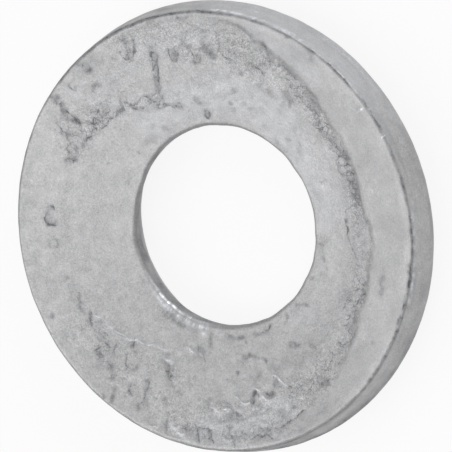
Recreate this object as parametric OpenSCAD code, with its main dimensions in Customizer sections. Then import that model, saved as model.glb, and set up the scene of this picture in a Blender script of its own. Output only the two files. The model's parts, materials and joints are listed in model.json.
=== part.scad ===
// Conical spring washer: one thick steel ring, blanked and pierced from the same side,
// dished, then hot-dip galvanised. It lies on the back end of its bore, hollow side up.

/* [Ring] */
// Outside diameter at the widest point of the rim
outside_d = 38.8; // [34:0.1:46]
// Diameter of the bore at its straight land
bore_d = 17.3; // [13:0.1:21]
// Thickness measured square to the two faces
thickness = 4.0; // [3.4:0.1:5.5]
// Height that the dish gains from the bore out to the rim
dish_h = 2.1; // [1:0.1:2.6]

/* [Rim] */
// Radius of the edge that blanking drew in round the back of the rim
rim_roll_r = 1.5; // [0.8:0.1:2.2]
// Angle in degrees by which the rim narrows from its widest point up to the front face
rim_lean = 11; // [6:1:16]
// Radius of the zinc-covered edge between the rim and the front face
rim_edge_r = 0.3; // [0.1:0.05:0.6]

/* [Bore] */
// Radius of the zinc-covered edge between the bore and the front face
bore_roll_r = 0.4; // [0.2:0.05:0.8]
// Length of the straight land in the bore, where the punch cut cleanly
bore_land_h = 0.75; // [0.4:0.05:1.2]
// Amount by which the torn part of the bore widens from the land down to its lowest ring
bore_break = 1.45; // [0.9:0.05:1.8]
// Radius of the edge between the bore and the back face
bore_edge_r = 0.3; // [0.1:0.05:0.5]

/* [Hidden] */
$fn = 180;

// Straight steps in each rounded stretch of the section
ARC_STEPS = 10;
outside_r = outside_d / 2;
bore_r = bore_d / 2;
// Slope of both faces, as an angle
dish_angle = atan(dish_h / (outside_r - bore_r));
// Thickness measured along the axis
upright_t = thickness / cos(dish_angle);

// Directions in which the two faces look, seen in the section
BACK = 270 + dish_angle;
FRONT = 90 + dish_angle;

function unit(angle) = [cos(angle), sin(angle)];

// Points of an arc about c, from angle a to angle b
function arc(c, radius, a, b, steps = ARC_STEPS) =
    [for (i = [0 : steps]) c + radius * unit(a + (b - a) * i / steps)];

// Centre of the rounding in a sharp corner between sides that look towards angles a and b
function rounding_centre(corner, radius, a, b) =
    corner - radius / cos((b - a) / 2) * unit((a + b) / 2);

// Centre of the edge between bore and back face. Its lowest ring is what the washer lies on.
bore_edge_c = [bore_r + bore_break, bore_edge_r];

// Heights of the two faces at a radius
function back_z(r) =
    bore_edge_c.y - bore_edge_r / cos(dish_angle) + (r - bore_edge_c.x) * tan(dish_angle);
function front_z(r) = back_z(r) + upright_t;

// Centre of the rim's drawn-in edge, which touches the back face and the widest radius
rim_roll_c = [outside_r - rim_roll_r,
              back_z(outside_r - rim_roll_r) + rim_roll_r / cos(dish_angle)];
// Where the leaning rim leaves that edge, and the sharp corner where it meets the front face
rim_start = rim_roll_c + rim_roll_r * unit(rim_lean);
rim_rise = (front_z(rim_start.x) - rim_start.y) / (cos(rim_lean) + sin(rim_lean) * tan(dish_angle));
rim_corner = rim_start + rim_rise * [-sin(rim_lean), cos(rim_lean)];
rim_edge_c = rounding_centre(rim_corner, rim_edge_r, rim_lean, FRONT);

// Centre of the bore's front edge, and the height at which the land ends below it
bore_roll_c = rounding_centre([bore_r, front_z(bore_r)], bore_roll_r, FRONT, 180);
land_end_z = bore_roll_c.y - bore_land_h;
// Direction in which the torn stretch looks: it runs from the land's end to the back edge
torn = [bore_r, land_end_z] - bore_edge_c;
torn_side = atan2(torn.y, torn.x) + acos(bore_edge_r / norm(torn));

// The two lower arcs have a point of their own at the lowest ring and at the widest radius
module washer_section() {
    polygon(concat(
        [[bore_r, land_end_z]],
        arc(bore_edge_c, bore_edge_r, torn_side, 270),
        [bore_edge_c + bore_edge_r * unit(BACK)],
        arc(rim_roll_c, rim_roll_r, BACK, 360),
        arc(rim_roll_c, rim_roll_r, rim_lean / 2, rim_lean, 1),
        arc(rim_edge_c, rim_edge_r, rim_lean, FRONT),
        arc(bore_roll_c, bore_roll_r, FRONT, 180)
    ));
}

module washer() {
    color("silver")
        rotate_extrude()
            washer_section();
}

washer();
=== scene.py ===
"""Hot-dip galvanised conical spring washer, seen lying on a pale studio floor.

The washer is one dished ring of punched steel under a thick, uneven coat of zinc. Its section is spun
into a closed mesh, and the coat is sculpted on that mesh: the smooth thick band along one side, the runs,
skins, beads and pits that the zinc left as it drained, and the grain between them. The same marks are
kept as attributes, which the finish reads for its colour and fine relief. Some of that colour is painted
light: painted highlights on the beads, the lips, the rim's front edge and the bore's roll, and painted
shade along the seam of the front edge, on the side and on the bore's wall.

Sizes here are in millimetres, on the washer's own axes: x points up in the picture, y to the left and z
out of the hollow front face. Bearings are in degrees, from the top of the picture round to the right.
Meshes are in metres.
"""

import json
import logging
import math
from dataclasses import dataclass, replace
from enum import Enum
from functools import partial

import bmesh
import bpy
import numpy as np
from mathutils import Matrix, Vector


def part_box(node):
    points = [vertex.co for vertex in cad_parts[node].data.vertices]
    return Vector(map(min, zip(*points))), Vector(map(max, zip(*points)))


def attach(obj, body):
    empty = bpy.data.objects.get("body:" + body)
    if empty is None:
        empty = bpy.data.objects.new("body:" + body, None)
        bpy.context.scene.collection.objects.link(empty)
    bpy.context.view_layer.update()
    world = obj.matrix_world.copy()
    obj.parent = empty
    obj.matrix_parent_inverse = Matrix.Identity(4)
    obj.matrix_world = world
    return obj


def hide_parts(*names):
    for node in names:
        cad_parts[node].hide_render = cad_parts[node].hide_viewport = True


MM = 0.001
IMAGE_PX = 452
LOG = logging.getLogger("washer")
WHITE = (1, 1, 1, 1)
# The inputs and the output of a Mix node that hold colours
MIX_A, MIX_B, MIX_RESULT = 6, 7, 2

# Two values: a point of the section, or the ends between which something changes
Span = tuple[float, float]
# Pairs of a bearing and the value there
Table = tuple[tuple[float, float], ...]
# What the coat knows about every point of the ring, by name
Fields = dict[str, np.ndarray]

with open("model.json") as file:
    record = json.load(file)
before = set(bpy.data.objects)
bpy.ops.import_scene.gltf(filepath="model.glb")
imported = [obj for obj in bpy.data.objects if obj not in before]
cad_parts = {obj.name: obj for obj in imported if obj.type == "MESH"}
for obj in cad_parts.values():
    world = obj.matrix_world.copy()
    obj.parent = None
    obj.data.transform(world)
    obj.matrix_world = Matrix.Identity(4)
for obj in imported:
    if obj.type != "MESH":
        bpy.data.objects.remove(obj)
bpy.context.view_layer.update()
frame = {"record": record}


def linear_colour(hex_code: str) -> tuple[float, float, float, float]:
    """Turns an sRGB hex colour into the linear colour that a shader takes.

    Args:
        hex_code: Six hex digits, with or without a leading hash.

    Returns:
        Red, green and blue in linear light, and an alpha of 1.
    """
    digits = hex_code.lstrip("#")
    channels = [int(digits[i:i + 2], 16) / 255 for i in (0, 2, 4)]
    linear = [c / 12.92 if c <= 0.04045 else ((c + 0.055) / 1.055) ** 2.4 for c in channels]
    return (*linear, 1.0)


def add_node(tree: bpy.types.NodeTree, kind: str, links: dict | None = None, **settings) -> bpy.types.Node:
    """Adds one node, sets it up and links its inputs.

    Args:
        tree: The node tree that gets the node.
        kind: Blender's name for the node's type.
        links: Input name or index to a value, or to the wire that feeds it.
        **settings: Properties of the node itself.

    Returns:
        The new node.
    """
    node = tree.nodes.new(kind)
    for name, value in settings.items():
        setattr(node, name, value)
    for key, value in (links or {}).items():
        if isinstance(value, Wire):
            tree.links.new(value.socket, node.inputs[key])
        else:
            node.inputs[key].default_value = value
    return node


@dataclass(frozen=True)
class Wire:
    """An output in a node tree. Arithmetic on it adds the nodes that work the result out."""

    tree: bpy.types.NodeTree
    socket: bpy.types.NodeSocket

    def step(self, operation: str, *numbers: "Wire | float") -> "Wire":
        """Adds one Math node that works on the given numbers."""
        node = add_node(self.tree, "ShaderNodeMath", dict(enumerate(numbers)), operation=operation)
        return Wire(self.tree, node.outputs[0])

    def __add__(self, other: "Wire | float") -> "Wire":
        """Adds a number or a wire."""
        return self.step("ADD", self, other)

    __radd__ = __add__

    def __mul__(self, other: "Wire | float") -> "Wire":
        """Multiplies by a number or a wire."""
        return self.step("MULTIPLY", self, other)

    def __sub__(self, other: "Wire | float") -> "Wire":
        """Takes a number or a wire away."""
        return self.step("SUBTRACT", self, other)

    def __rsub__(self, other: float) -> "Wire":
        """Takes the wire away from a number."""
        return self.step("SUBTRACT", other, self)

    def __abs__(self) -> "Wire":
        """Drops the sign."""
        return self.step("ABSOLUTE", self)

    def at_least(self, low: "Wire | float") -> "Wire":
        """Gives the larger of the wire and a number."""
        return self.step("MAXIMUM", self, low)

    def at_most(self, high: float) -> "Wire":
        """Gives the smaller of the wire and a number."""
        return self.step("MINIMUM", self, high)

    def clamped(self, high: float = 1.0) -> "Wire":
        """Keeps the wire between 0 and a highest value."""
        node = add_node(self.tree, "ShaderNodeClamp", {"Value": self, "Max": high})
        return Wire(self.tree, node.outputs[0])

    def fading(self, end: float, full: float = 1.0) -> "Wire":
        """Falls smoothly from its full value where the wire is 0 to nothing at the end."""
        node = add_node(self.tree, "ShaderNodeMapRange", {
            "Value": self, "From Min": 0.0, "From Max": end, "To Min": full, "To Max": 0.0},
            interpolation_type="SMOOTHSTEP")
        return Wire(self.tree, node.outputs[0])


def smooth_step(low: float, high: float, values: np.ndarray) -> np.ndarray:
    """Rises smoothly from 0 at low to 1 at high."""
    t = np.clip((values - low) / (high - low), 0.0, 1.0)
    return t * t * (3.0 - 2.0 * t)


def plateau(rise: Span, fall: Span, values: np.ndarray) -> np.ndarray:
    """Rises smoothly from 0 to 1 over one span, and falls back to 0 over another."""
    return smooth_step(*rise, values) * (1 - smooth_step(*fall, values))


def radius_of(places: np.ndarray) -> np.ndarray:
    """Distance of each place from the axis, in millimetres."""
    return np.hypot(places[:, 0], places[:, 1])


def bearing_of(places: np.ndarray, start: float = 0.0) -> np.ndarray:
    """Bearing of each place, over the full turn that begins at a start."""
    return (np.degrees(np.arctan2(-places[:, 1], places[:, 0])) - start) % 360 + start


def looked_up(table: Table, bearing: np.ndarray) -> np.ndarray:
    """Reads a table at each bearing, in straight steps from row to row."""
    return np.interp(bearing, *np.array(table).T)


class ZincNoise:
    """Smooth random field in space, the same on every run."""

    PRIMES = (73856093, 19349663, 83492791)
    SEED_PRIME = 668265263
    MIXERS = ((15, 2246822519), (13, 3266489917))
    LOW_32_BITS = 0xFFFFFFFF
    LOW_24_BITS = 0xFFFFFF
    # Far enough out that every cell has whole numbers above 0
    ORIGIN = 1000.0
    # How far each finer copy of the field is moved, so that their cells don't line up
    COPY_SHIFT = 17.3

    def __init__(self, seed: int) -> None:
        """Keeps the seed that tells one field from another."""
        self.seed = seed

    def _lattice(self, cell: np.ndarray) -> np.ndarray:
        """Gives each whole-number cell its own value between -1 and 1, by mixing the bits of its place."""
        x, y, z = (cell * self.PRIMES).T
        mixed = x ^ y ^ z
        mixed = (mixed ^ (self.seed * self.SEED_PRIME)) & self.LOW_32_BITS
        for shift, factor in self.MIXERS:
            mixed = ((mixed ^ (mixed >> shift)) * factor) & self.LOW_32_BITS
        return ((mixed ^ (mixed >> 16)) & self.LOW_24_BITS) / (self.LOW_24_BITS // 2) - 1.0

    def smooth(self, points: np.ndarray, size: float) -> np.ndarray:
        """Blends the cell values at each point.

        Args:
            points: Places in millimetres, one row each.
            size: Edge of a cell in millimetres.

        Returns:
            One value between -1 and 1 for each point.
        """
        scaled = points / size + self.ORIGIN
        cell = np.floor(scaled).astype(np.int64)
        t = scaled - cell
        # Blends so that the slopes of neighbouring cells meet too
        t = t * t * t * (t * (t * 6 - 15) + 10)
        total = np.zeros(len(points))
        for corner in range(8):
            step = np.array([corner & 1, (corner >> 1) & 1, (corner >> 2) & 1])
            weight = np.prod(np.where(step == 1, t, 1 - t), axis=1)
            total += weight * self._lattice(cell + step)
        return total

    def fractal(self, points: np.ndarray, size: float, octaves: int) -> np.ndarray:
        """Adds finer and fainter copies of the field to itself."""
        total = np.zeros(len(points))
        for octave in range(octaves):
            total += self.smooth(points + self.COPY_SHIFT * octave, size / 2 ** octave) / 2 ** octave
        return total


@dataclass(frozen=True)
class Uneven:
    """A value that wanders from place to place.

    Attributes:
        seed: Number of its noise field.
        size: Width of its patches in millimetres, or 1 for streaks.
        swing: How far the noise carries it from its middle.
        middle: Its middle value.
        octaves: How many copies of the noise it adds up.
        limits: Its lowest and highest value.
        streak: Length round the ring and width across the section of its streaks, in millimetres. None
            gives patches instead.
    """

    # Radius at which streaks have their stated length
    STREAK_R = 17.0

    seed: int
    size: float = 1.0
    swing: float = 1.0
    middle: float = 0.0
    octaves: int = 2
    limits: Span = (-math.inf, math.inf)
    streak: Span | None = None

    def at(self, places: np.ndarray) -> np.ndarray:
        """Gives the value at each place, in millimetres."""
        if self.streak:
            places = self._stretched(places)
        noise = ZincNoise(self.seed).fractal(places, self.size, self.octaves)
        return np.clip(self.middle + self.swing * noise, *self.limits)

    def _stretched(self, places: np.ndarray) -> np.ndarray:
        """Moves the places so that noise with a cell of 1 makes streaks round the ring."""
        length, width = self.streak
        radius = radius_of(places)
        across = (radius - places[:, 2]) / width
        return np.stack([places[:, 0] / radius * self.STREAK_R / length,
                         places[:, 1] / radius * self.STREAK_R / length, across], 1)


@dataclass
class Section:
    """Half section of the ring, in millimetres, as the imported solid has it.

    The corners named _c are the centres of the rounded stretches.
    """

    outside_r: float
    bore_r: float
    thickness: float = 4.0
    dish_h: float = 2.1
    rim_roll_r: float = 1.5
    rim_lean: float = math.radians(11)
    rim_edge_r: float = 0.3
    bore_roll_r: float = 0.4
    bore_land_h: float = 0.75
    bore_break: float = 1.45
    bore_edge_r: float = 0.3
    # Steps on the roundings: bore's back edge, rim's back edge, rim's front edge and bore's front edge
    arc_steps: tuple[int, ...] = (5, 11, 4, 6)
    # Steps on the straight stretches: back, side, front, land and torn stretch
    line_steps: tuple[int, ...] = (12, 14, 72, 6, 6)

    def __post_init__(self) -> None:
        """Works out the slope of the faces and where the roundings stand."""
        self.dish = math.atan(self.dish_h / (self.outside_r - self.bore_r))
        self.front_side = math.pi / 2 + self.dish
        self.back_side = -math.pi / 2 + self.dish
        self.bore_edge_c = (self.bore_r + self.bore_break, self.bore_edge_r)
        roll_x = self.outside_r - self.rim_roll_r
        self.rim_roll_c = (roll_x, self.back_z(roll_x) + self.rim_roll_r / math.cos(self.dish))
        start = self.on_arc(self.rim_roll_c, self.rim_roll_r, self.rim_lean)
        rise = (self.front_z(start[0]) - start[1]) / (
            math.cos(self.rim_lean) + math.sin(self.rim_lean) * math.tan(self.dish))
        corner = (start[0] - rise * math.sin(self.rim_lean), start[1] + rise * math.cos(self.rim_lean))
        self.rim_edge_c = self.rounding_centre(corner, self.rim_edge_r, self.rim_lean, self.front_side)
        self.bore_roll_c = self.rounding_centre(
            (self.bore_r, self.front_z(self.bore_r)), self.bore_roll_r, self.front_side, math.pi)
        self.land_end = (self.bore_r, self.bore_roll_c[1] - self.bore_land_h)

    def back_z(self, r: float) -> float:
        """Height of the back face at a radius."""
        lift = self.bore_edge_c[1] - self.bore_edge_r / math.cos(self.dish)
        return lift + (r - self.bore_edge_c[0]) * math.tan(self.dish)

    def front_z(self, r: float) -> float:
        """Height of the front face at a radius."""
        return self.back_z(r) + self.thickness / math.cos(self.dish)

    @staticmethod
    def on_arc(centre: Span, radius: float, angle: float) -> Span:
        """Point of an arc at an angle."""
        return (centre[0] + radius * math.cos(angle), centre[1] + radius * math.sin(angle))

    @staticmethod
    def rounding_centre(corner: Span, radius: float, a: float, b: float) -> Span:
        """Centre of the rounding in a corner whose sides look towards the angles a and b."""
        reach = radius / math.cos((b - a) / 2)
        return (corner[0] - reach * math.cos((a + b) / 2), corner[1] - reach * math.sin((a + b) / 2))

    def arc(self, centre: Span, radius: float, a: float, b: float, steps: int) -> list[Span]:
        """Points of an arc from angle a to angle b, both ends among them."""
        return [self.on_arc(centre, radius, a + (b - a) * i / steps) for i in range(steps + 1)]

    def outline(self) -> list[Span]:
        """Walks once round the section: bore's back edge, back, rim, front, bore's front edge and land.

        Returns:
            Radius and height of each point, close together where the zinc's relief shows most.
        """
        torn = (self.land_end[0] - self.bore_edge_c[0], self.land_end[1] - self.bore_edge_c[1])
        torn_side = math.atan2(torn[1], torn[0]) + math.acos(self.bore_edge_r / math.hypot(*torn))
        arcs = [
            (self.bore_edge_c, self.bore_edge_r, torn_side, 2 * math.pi + self.back_side),
            (self.rim_roll_c, self.rim_roll_r, self.back_side, self.rim_lean),
            (self.rim_edge_c, self.rim_edge_r, self.rim_lean, self.front_side),
            (self.bore_roll_c, self.bore_roll_r, self.front_side, math.pi),
        ]
        stretches = [self.arc(*arc, steps) for arc, steps in zip(arcs, self.arc_steps)] + [[self.land_end]]
        points = []
        for stretch, steps, following in zip(stretches, self.line_steps, stretches[1:] + stretches[:1]):
            points += stretch
            (r0, z0), (r1, z1) = stretch[-1], following[0]
            points += [(r0 + (r1 - r0) * i / steps, z0 + (z1 - z0) * i / steps) for i in range(1, steps)]
        return points


class Mark(Enum):
    """What the zinc left behind as it drained and froze."""

    RUN = "run"
    SKIN_EDGE = "skin edge"
    CREASE = "crease"
    SMUDGE = "smudge"
    GRAIN = "grain"
    HAZE = "haze"
    PIT = "pit"
    BEAD = "bead"
    LIP = "lip"
    CURLS = "curls"
    CLEAN = "clean"


@dataclass(frozen=True)
class MarkForm:
    """How one kind of mark stands on the coat.

    Attributes:
        height: Rise at its middle in millimetres, below 0 for a hollow.
        dross: Share of dark dross in the zinc there, and of painted shade where the mark darkens
        a hollow or the face's outer edge, from 0 to 1.
        grain: Share of coarse grain, from 0 to 1.
        gleam: Share of clean bright zinc, and of painted highlight on beads and lips, from 0 to 1.
        curls: Share of the fine net of creases in broken skin, from 0 to 1.
        thread: Strength of the thin line along its middle: dark above 0, bright below, where it is a painted
        highlight along a lip.
        solid: Share of its width that is filled evenly before it fades, from 0 to 1.
    """

    height: float
    dross: float = 0.0
    grain: float = 0.0
    gleam: float = 0.0
    curls: float = 0.0
    thread: float = 0.0
    solid: float = 0.1


# A mark's veil reaches this much further than its core, and has this share of its strength
VEIL_WIDTH = 2.2
VEIL_SHARE = 0.3
# Neighbouring thin lines are kept in this many layers, so that each one's signed distance stays its own
THREAD_LAYERS = 3

FORMS = {
    Mark.RUN: MarkForm(0.03, dross=0.36, grain=0.15, solid=0.6),
    Mark.SKIN_EDGE: MarkForm(-0.015, dross=0.20, grain=0.2, thread=0.36),
    Mark.CREASE: MarkForm(-0.03, dross=0.36, thread=0.48),
    Mark.SMUDGE: MarkForm(-0.006, dross=0.33, grain=0.2, solid=0.5),
    Mark.GRAIN: MarkForm(0.0, dross=0.03, grain=1.0),
    Mark.HAZE: MarkForm(0.0, dross=0.14, grain=0.3),
    Mark.PIT: MarkForm(-0.04, dross=0.55, solid=0.3),
    # A bead's brightness and a lip's bright thin line are painted highlights on the raised zinc
    Mark.BEAD: MarkForm(0.03, gleam=0.30, solid=0.3),
    Mark.LIP: MarkForm(0.03, gleam=0.05, thread=-0.42),
    Mark.CURLS: MarkForm(0.0, dross=0.04, grain=0.3, curls=1.0),
    Mark.CLEAN: MarkForm(0.0, gleam=0.18),
}


@dataclass(frozen=True)
class Stroke:
    """A mark drawn along a few points of the front face.

    Attributes:
        mark: What kind of mark it is.
        width: Half its width in millimetres.
        places: Where it runs: bearing in degrees and radius in millimetres.
        strength: How strong it is, next to the usual one of its kind.
    """

    mark: Mark
    width: float
    places: Table
    strength: float = 1.0

    def corners(self) -> np.ndarray:
        """Gives x and y of the stroke's places, in millimetres."""
        bearing, radius = np.array(self.places).T
        return np.stack([radius * np.cos(np.radians(bearing)), -radius * np.sin(np.radians(bearing))], 1)

    def offset(self, spots: np.ndarray) -> np.ndarray:
        """Measures how far each spot is from the stroke's middle line.

        Args:
            spots: x and y of each spot, in millimetres.

        Returns:
            Distance in millimetres, below 0 on one side of the line.
        """
        nearest = np.full(len(spots), np.inf)
        corners = self.corners()
        ends = corners[1:] if len(corners) > 1 else corners
        for start, end in zip(corners, ends):
            ahead = end - start
            away = spots - start
            # A stroke of one place has no length to divide by
            t = np.clip(away @ ahead / max(ahead @ ahead, 1e-9), 0.0, 1.0)
            distance = np.hypot(*(away - t[:, None] * ahead).T)
            side = np.where(ahead[0] * away[:, 1] < ahead[1] * away[:, 0], -1.0, 1.0)
            nearest = np.where(distance < np.abs(nearest), distance * side, nearest)
        return nearest

    def cover(self, distance: np.ndarray) -> np.ndarray:
        """Works out how fully the stroke covers spots at a distance from its middle line.

        Args:
            distance: Distance of each spot, in millimetres.

        Returns:
            From 0 outside the stroke to 1 along its middle, with a faint veil at both sides.
        """
        core = 1.0 - smooth_step(FORMS[self.mark].solid * self.width, self.width, distance)
        veil = 1.0 - smooth_step(0.0, VEIL_WIDTH * self.width, distance)
        return (1.0 - VEIL_SHARE) * core + VEIL_SHARE * veil


def softened(strokes: tuple[Stroke, ...], share: float) -> tuple[Stroke, ...]:
    """Gives the same strokes with only a share of their strength."""
    return tuple(replace(stroke, strength=stroke.strength * share) for stroke in strokes)


# One maker of strokes for each kind of mark. It takes the width, the places and the strength
run, skin_edge, crease, smudge, grain, haze, pit, bead, lip, curls, clean = (
    partial(Stroke, mark) for mark in Mark)

# The broken skin at the upper left: its dark edge, the wedge and the column that drain into it, and the
# haze round them
UPPER_LEFT = (
    smudge(0.40, ((326, 18.7), (325.9, 18.2), (325.6, 17.7)), 1.25),
    smudge(0.30, ((325.2, 17.5), (324.6, 17)), 0.7),
    smudge(0.34, ((324.1, 17.1), (323.5, 16.6), (323.5, 16.2), (323.8, 15.7)), 1.1),
    smudge(0.32, ((322.2, 17), (322.6, 16.7), (323, 16.3)), 0.9),
    haze(0.55, ((322.4, 16.8), (323.2, 16.3)), 0.9),
    smudge(0.22, ((321.3, 17), (323.8, 17)), 0.5),
    smudge(0.22, ((323.8, 15.7), (324.4, 15.2)), 0.45),
    smudge(0.30, ((325.2, 14.8), (326.3, 14.5), (327.4, 14.5)), 0.6),
    skin_edge(0.20, ((324.5, 17.1), (324.1, 16.4), (323.9, 15.7), (324.3, 15.2), (325.1, 14.7))),
    skin_edge(0.24, ((325.1, 14.7), (325.9, 14.5), (326.5, 14.4), (327.3, 14.6)), 1),
    crease(0.17, ((325.8, 14.8), (326.5, 14.3)), 0.45),
    skin_edge(0.17, ((325.4, 14.4), (325.2, 13.9)), 0.9),
    skin_edge(0.16, ((319.3, 16.9), (318.8, 16.4), (318.3, 15.9)), 0.9),
    crease(0.20, ((318, 16), (318.8, 15.8)), 1.6),
    smudge(0.30, ((318.2, 16.5), (318.4, 16), (319, 15.8)), 1.1),
    skin_edge(0.16, ((320.2, 16.1), (319.3, 16), (318.4, 15.9)), 0.7),
    smudge(0.25, ((321.8, 18), (320.6, 17.5), (319.4, 16.9)), 0.6),
    smudge(0.26, ((317.2, 15.8), (318.2, 15.5), (319.5, 15.5), (320.3, 15.1)), 0.8),
    smudge(0.22, ((315.3, 14.9), (316.6, 14.5), (318.4, 14.3), (319.8, 14.4)), 0.9),
    skin_edge(0.16, ((315, 15.5), (316, 15.3), (316.4, 15.7), (317.2, 15.6)), 0.6),
    bead(0.30, ((317.3, 15.1),), 0.5),
    bead(0.28, ((319, 14.9),), 0.5),
    pit(0.17, ((313, 15.3), (313.2, 15.2)), 1.4),
    smudge(0.20, ((310.3, 14.8), (311.5, 14.6), (313, 14.6), (314.5, 14.6)), 0.7),
    smudge(0.22, ((309.9, 15.4), (311.2, 15.1), (312, 14.8)), 0.8),
    haze(0.70, ((310.5, 15), (314, 15), (318, 15), (321.5, 15.2)), 0.7),
    skin_edge(0.18, ((320.8, 14.3), (321.6, 14), (323, 13.8), (325, 13.7), (326.7, 13.6)), 0.9),
    skin_edge(0.20, ((326.7, 13.6), (328.6, 13.4), (330.4, 13.5), (332.3, 13.5), (334.4, 13.3)), 1),
    pit(0.17, ((325.5, 14),), 0.9),
    pit(0.18, ((332, 13.5), (332.7, 13.5)), 0.8),
    skin_edge(0.16, ((328.3, 14.6), (328.7, 14), (329.8, 13.9), (330.4, 14.3)), 0.7),
    smudge(0.26, ((329.8, 15.8), (329.1, 15.3), (329.6, 14.9), (330.7, 14.8)), 0.8),
    smudge(0.24, ((332.8, 15.2), (333.4, 14.7), (332.4, 14.3)), 0.7),
    haze(0.80, ((327.5, 14.2), (331, 14.2), (334, 14.2)), 0.6),
    crease(0.19, ((335.3, 13.4), (336.5, 13.3), (337.6, 13.2)), 0.7),
    smudge(0.34, ((336.8, 13.3), (338.1, 13.3)), 1.3),
    skin_edge(0.16, ((337.4, 13.2), (338.6, 13.5), (339.6, 13.9), (340.3, 14.1)), 0.4),
    skin_edge(0.19, ((340.7, 13.5), (341.3, 13.1), (342.1, 12.7), (343, 12.4), (344.1, 12.1)), 0.9),
    bead(0.28, ((339.8, 13.3),), 0.8),
    clean(0.50, ((336.2, 14.1), (337.4, 14.1)), 0.9),
    smudge(0.22, ((339.7, 14), (340.6, 14.2)), 0.6),
    skin_edge(0.16, ((342.4, 12.9), (344, 12.8), (346, 12.9), (347.3, 13.1), (348.7, 12.9)), 0.8),
    skin_edge(0.19, ((348.7, 12.9), (349.6, 12.6), (351.2, 12.6), (352.8, 12.7), (354.2, 12.9)), 0.9),
    skin_edge(0.17, ((350.2, 12.4), (350.9, 12.1), (352.2, 12), (353.6, 12.1), (354.5, 12.4)), 0.9),
    crease(0.18, ((343.8, 12.2), (344.9, 12.2)), 0.7),
    smudge(0.26, ((348.7, 12.4), (349.8, 12.3)), 1),
    smudge(0.24, ((341.8, 12.7), (343.2, 12.5), (344.6, 12.3)), 1.1),
    smudge(0.28, ((349.6, 12.4), (351.6, 12.2), (354.4, 12.2)), 0.9),
    smudge(0.26, ((351, 11.5), (352.6, 11.4), (354, 11.5)), 0.9),
    smudge(0.24, ((354.4, 11.5), (356.4, 11.3), (358.6, 11.2), (360.6, 11.2)), 0.9),
    bead(0.17, ((345.2, 12.4), (346, 12.4)), 0.8),
    bead(0.15, ((347.3, 12.2), (347.8, 12.3)), 0.7),
    bead(0.15, ((353.1, 12.5),), 1.1),
    haze(0.50, ((343.5, 12.3), (347, 12.1), (350.5, 12), (354, 11.9)), 1),
    skin_edge(0.17, ((348.8, 12), (350, 11.7), (351.2, 11.5), (352.8, 11.4), (354.3, 11.3)), 0.9),
    skin_edge(0.16, ((351.3, 11.8), (352.6, 11.7), (354, 11.8), (354.8, 11.5)), 0.8),
    bead(0.17, ((353.4, 11.6),), 0.9),
    skin_edge(0.20, ((355, 11.4), (356.6, 11.2), (358.2, 11), (359.6, 11.1), (361.2, 11)), 1),
    smudge(0.24, ((359.5, 11), (360.4, 10.7), (361.5, 10.8)), 0.9),
    smudge(0.20, ((344.8, 12), (347, 11.7), (349.2, 11.5)), 0.6),
    run(0.36, ((359.8, 15.9), (359.1, 15.2), (357.6, 14.4), (356.4, 13.7)), 0.85),
    run(0.32, ((356.4, 13.7), (355.3, 13.1), (354.3, 12.6)), 0.85),
    skin_edge(0.16, ((361.6, 16.3), (360.4, 15.4), (358.6, 14.4), (357.2, 13.6), (355.9, 12.9)), 0.9),
    skin_edge(0.16, ((358.3, 17), (358.8, 16.3), (358.6, 15.6), (357.2, 14.8)), 0.7),
    skin_edge(0.22, ((355.8, 17.7), (355.2, 17.2), (354.2, 16.6), (353.2, 16.3), (352.3, 16.1)), 1),
    skin_edge(0.18, ((350.2, 17), (350.5, 16.5), (351.1, 16.1), (352, 16)), 0.9),
    smudge(0.50, ((353.4, 17.6), (352.9, 17), (352.2, 16.5)), 0.95),
    smudge(0.20, ((355.7, 17.6), (355.2, 17.1), (354.4, 16.7)), 1.8),
    smudge(0.50, ((361.8, 17), (360.8, 16.3), (359.9, 15.7)), 0.5),
    haze(0.55, ((350.8, 18.4), (353, 18.2), (355.5, 18.3)), 0.9),
    smudge(0.45, ((338.2, 18.6), (338.6, 18.1), (339.2, 17.6)), 0.8),
    pit(0.15, ((338.3, 18.2),), 0.8),
    pit(0.15, ((339.4, 17.6),), 0.9),
    smudge(0.18, ((337.9, 17.5), (338.8, 17.4), (339.6, 17.7), (339.9, 18.1)), 0.7),
    haze(0.60, ((336.8, 18.4), (338, 17.6), (339.6, 17.3)), 0.8),
    skin_edge(0.17, ((332.9, 18), (331.6, 18.1), (330.9, 17.8), (331.2, 17.3)), 0.8),
    smudge(0.18, ((332.6, 17.5), (331.5, 17.3), (330.9, 17.7), (331.4, 18.1)), 0.8),
    smudge(0.22, ((335.2, 16.1), (336, 16.3), (337, 16.3), (338, 16)), 1.25),
    pit(0.14, ((335.9, 16.3),), 0.5),
    smudge(0.18, ((347.2, 17.1), (347.9, 16.9)), 0.9),
    haze(0.45, ((341.5, 18.3), (342.2, 17.7), (343.6, 17.5)), 0.8),
    haze(0.60, ((342.6, 15.8), (343, 15.1), (341.4, 14.4)), 0.8),
    clean(0.60, ((330.5, 16.8), (333, 17.2)), 0.5),
    grain(1.9, ((318, 16.2), (326, 15.2), (334, 15.3), (343, 15.2), (352, 16)), 0.45),
    grain(1, ((312, 15), (322, 14.4), (332, 13.9), (342, 12.9), (353, 12.2)), 0.6),
)

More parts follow.
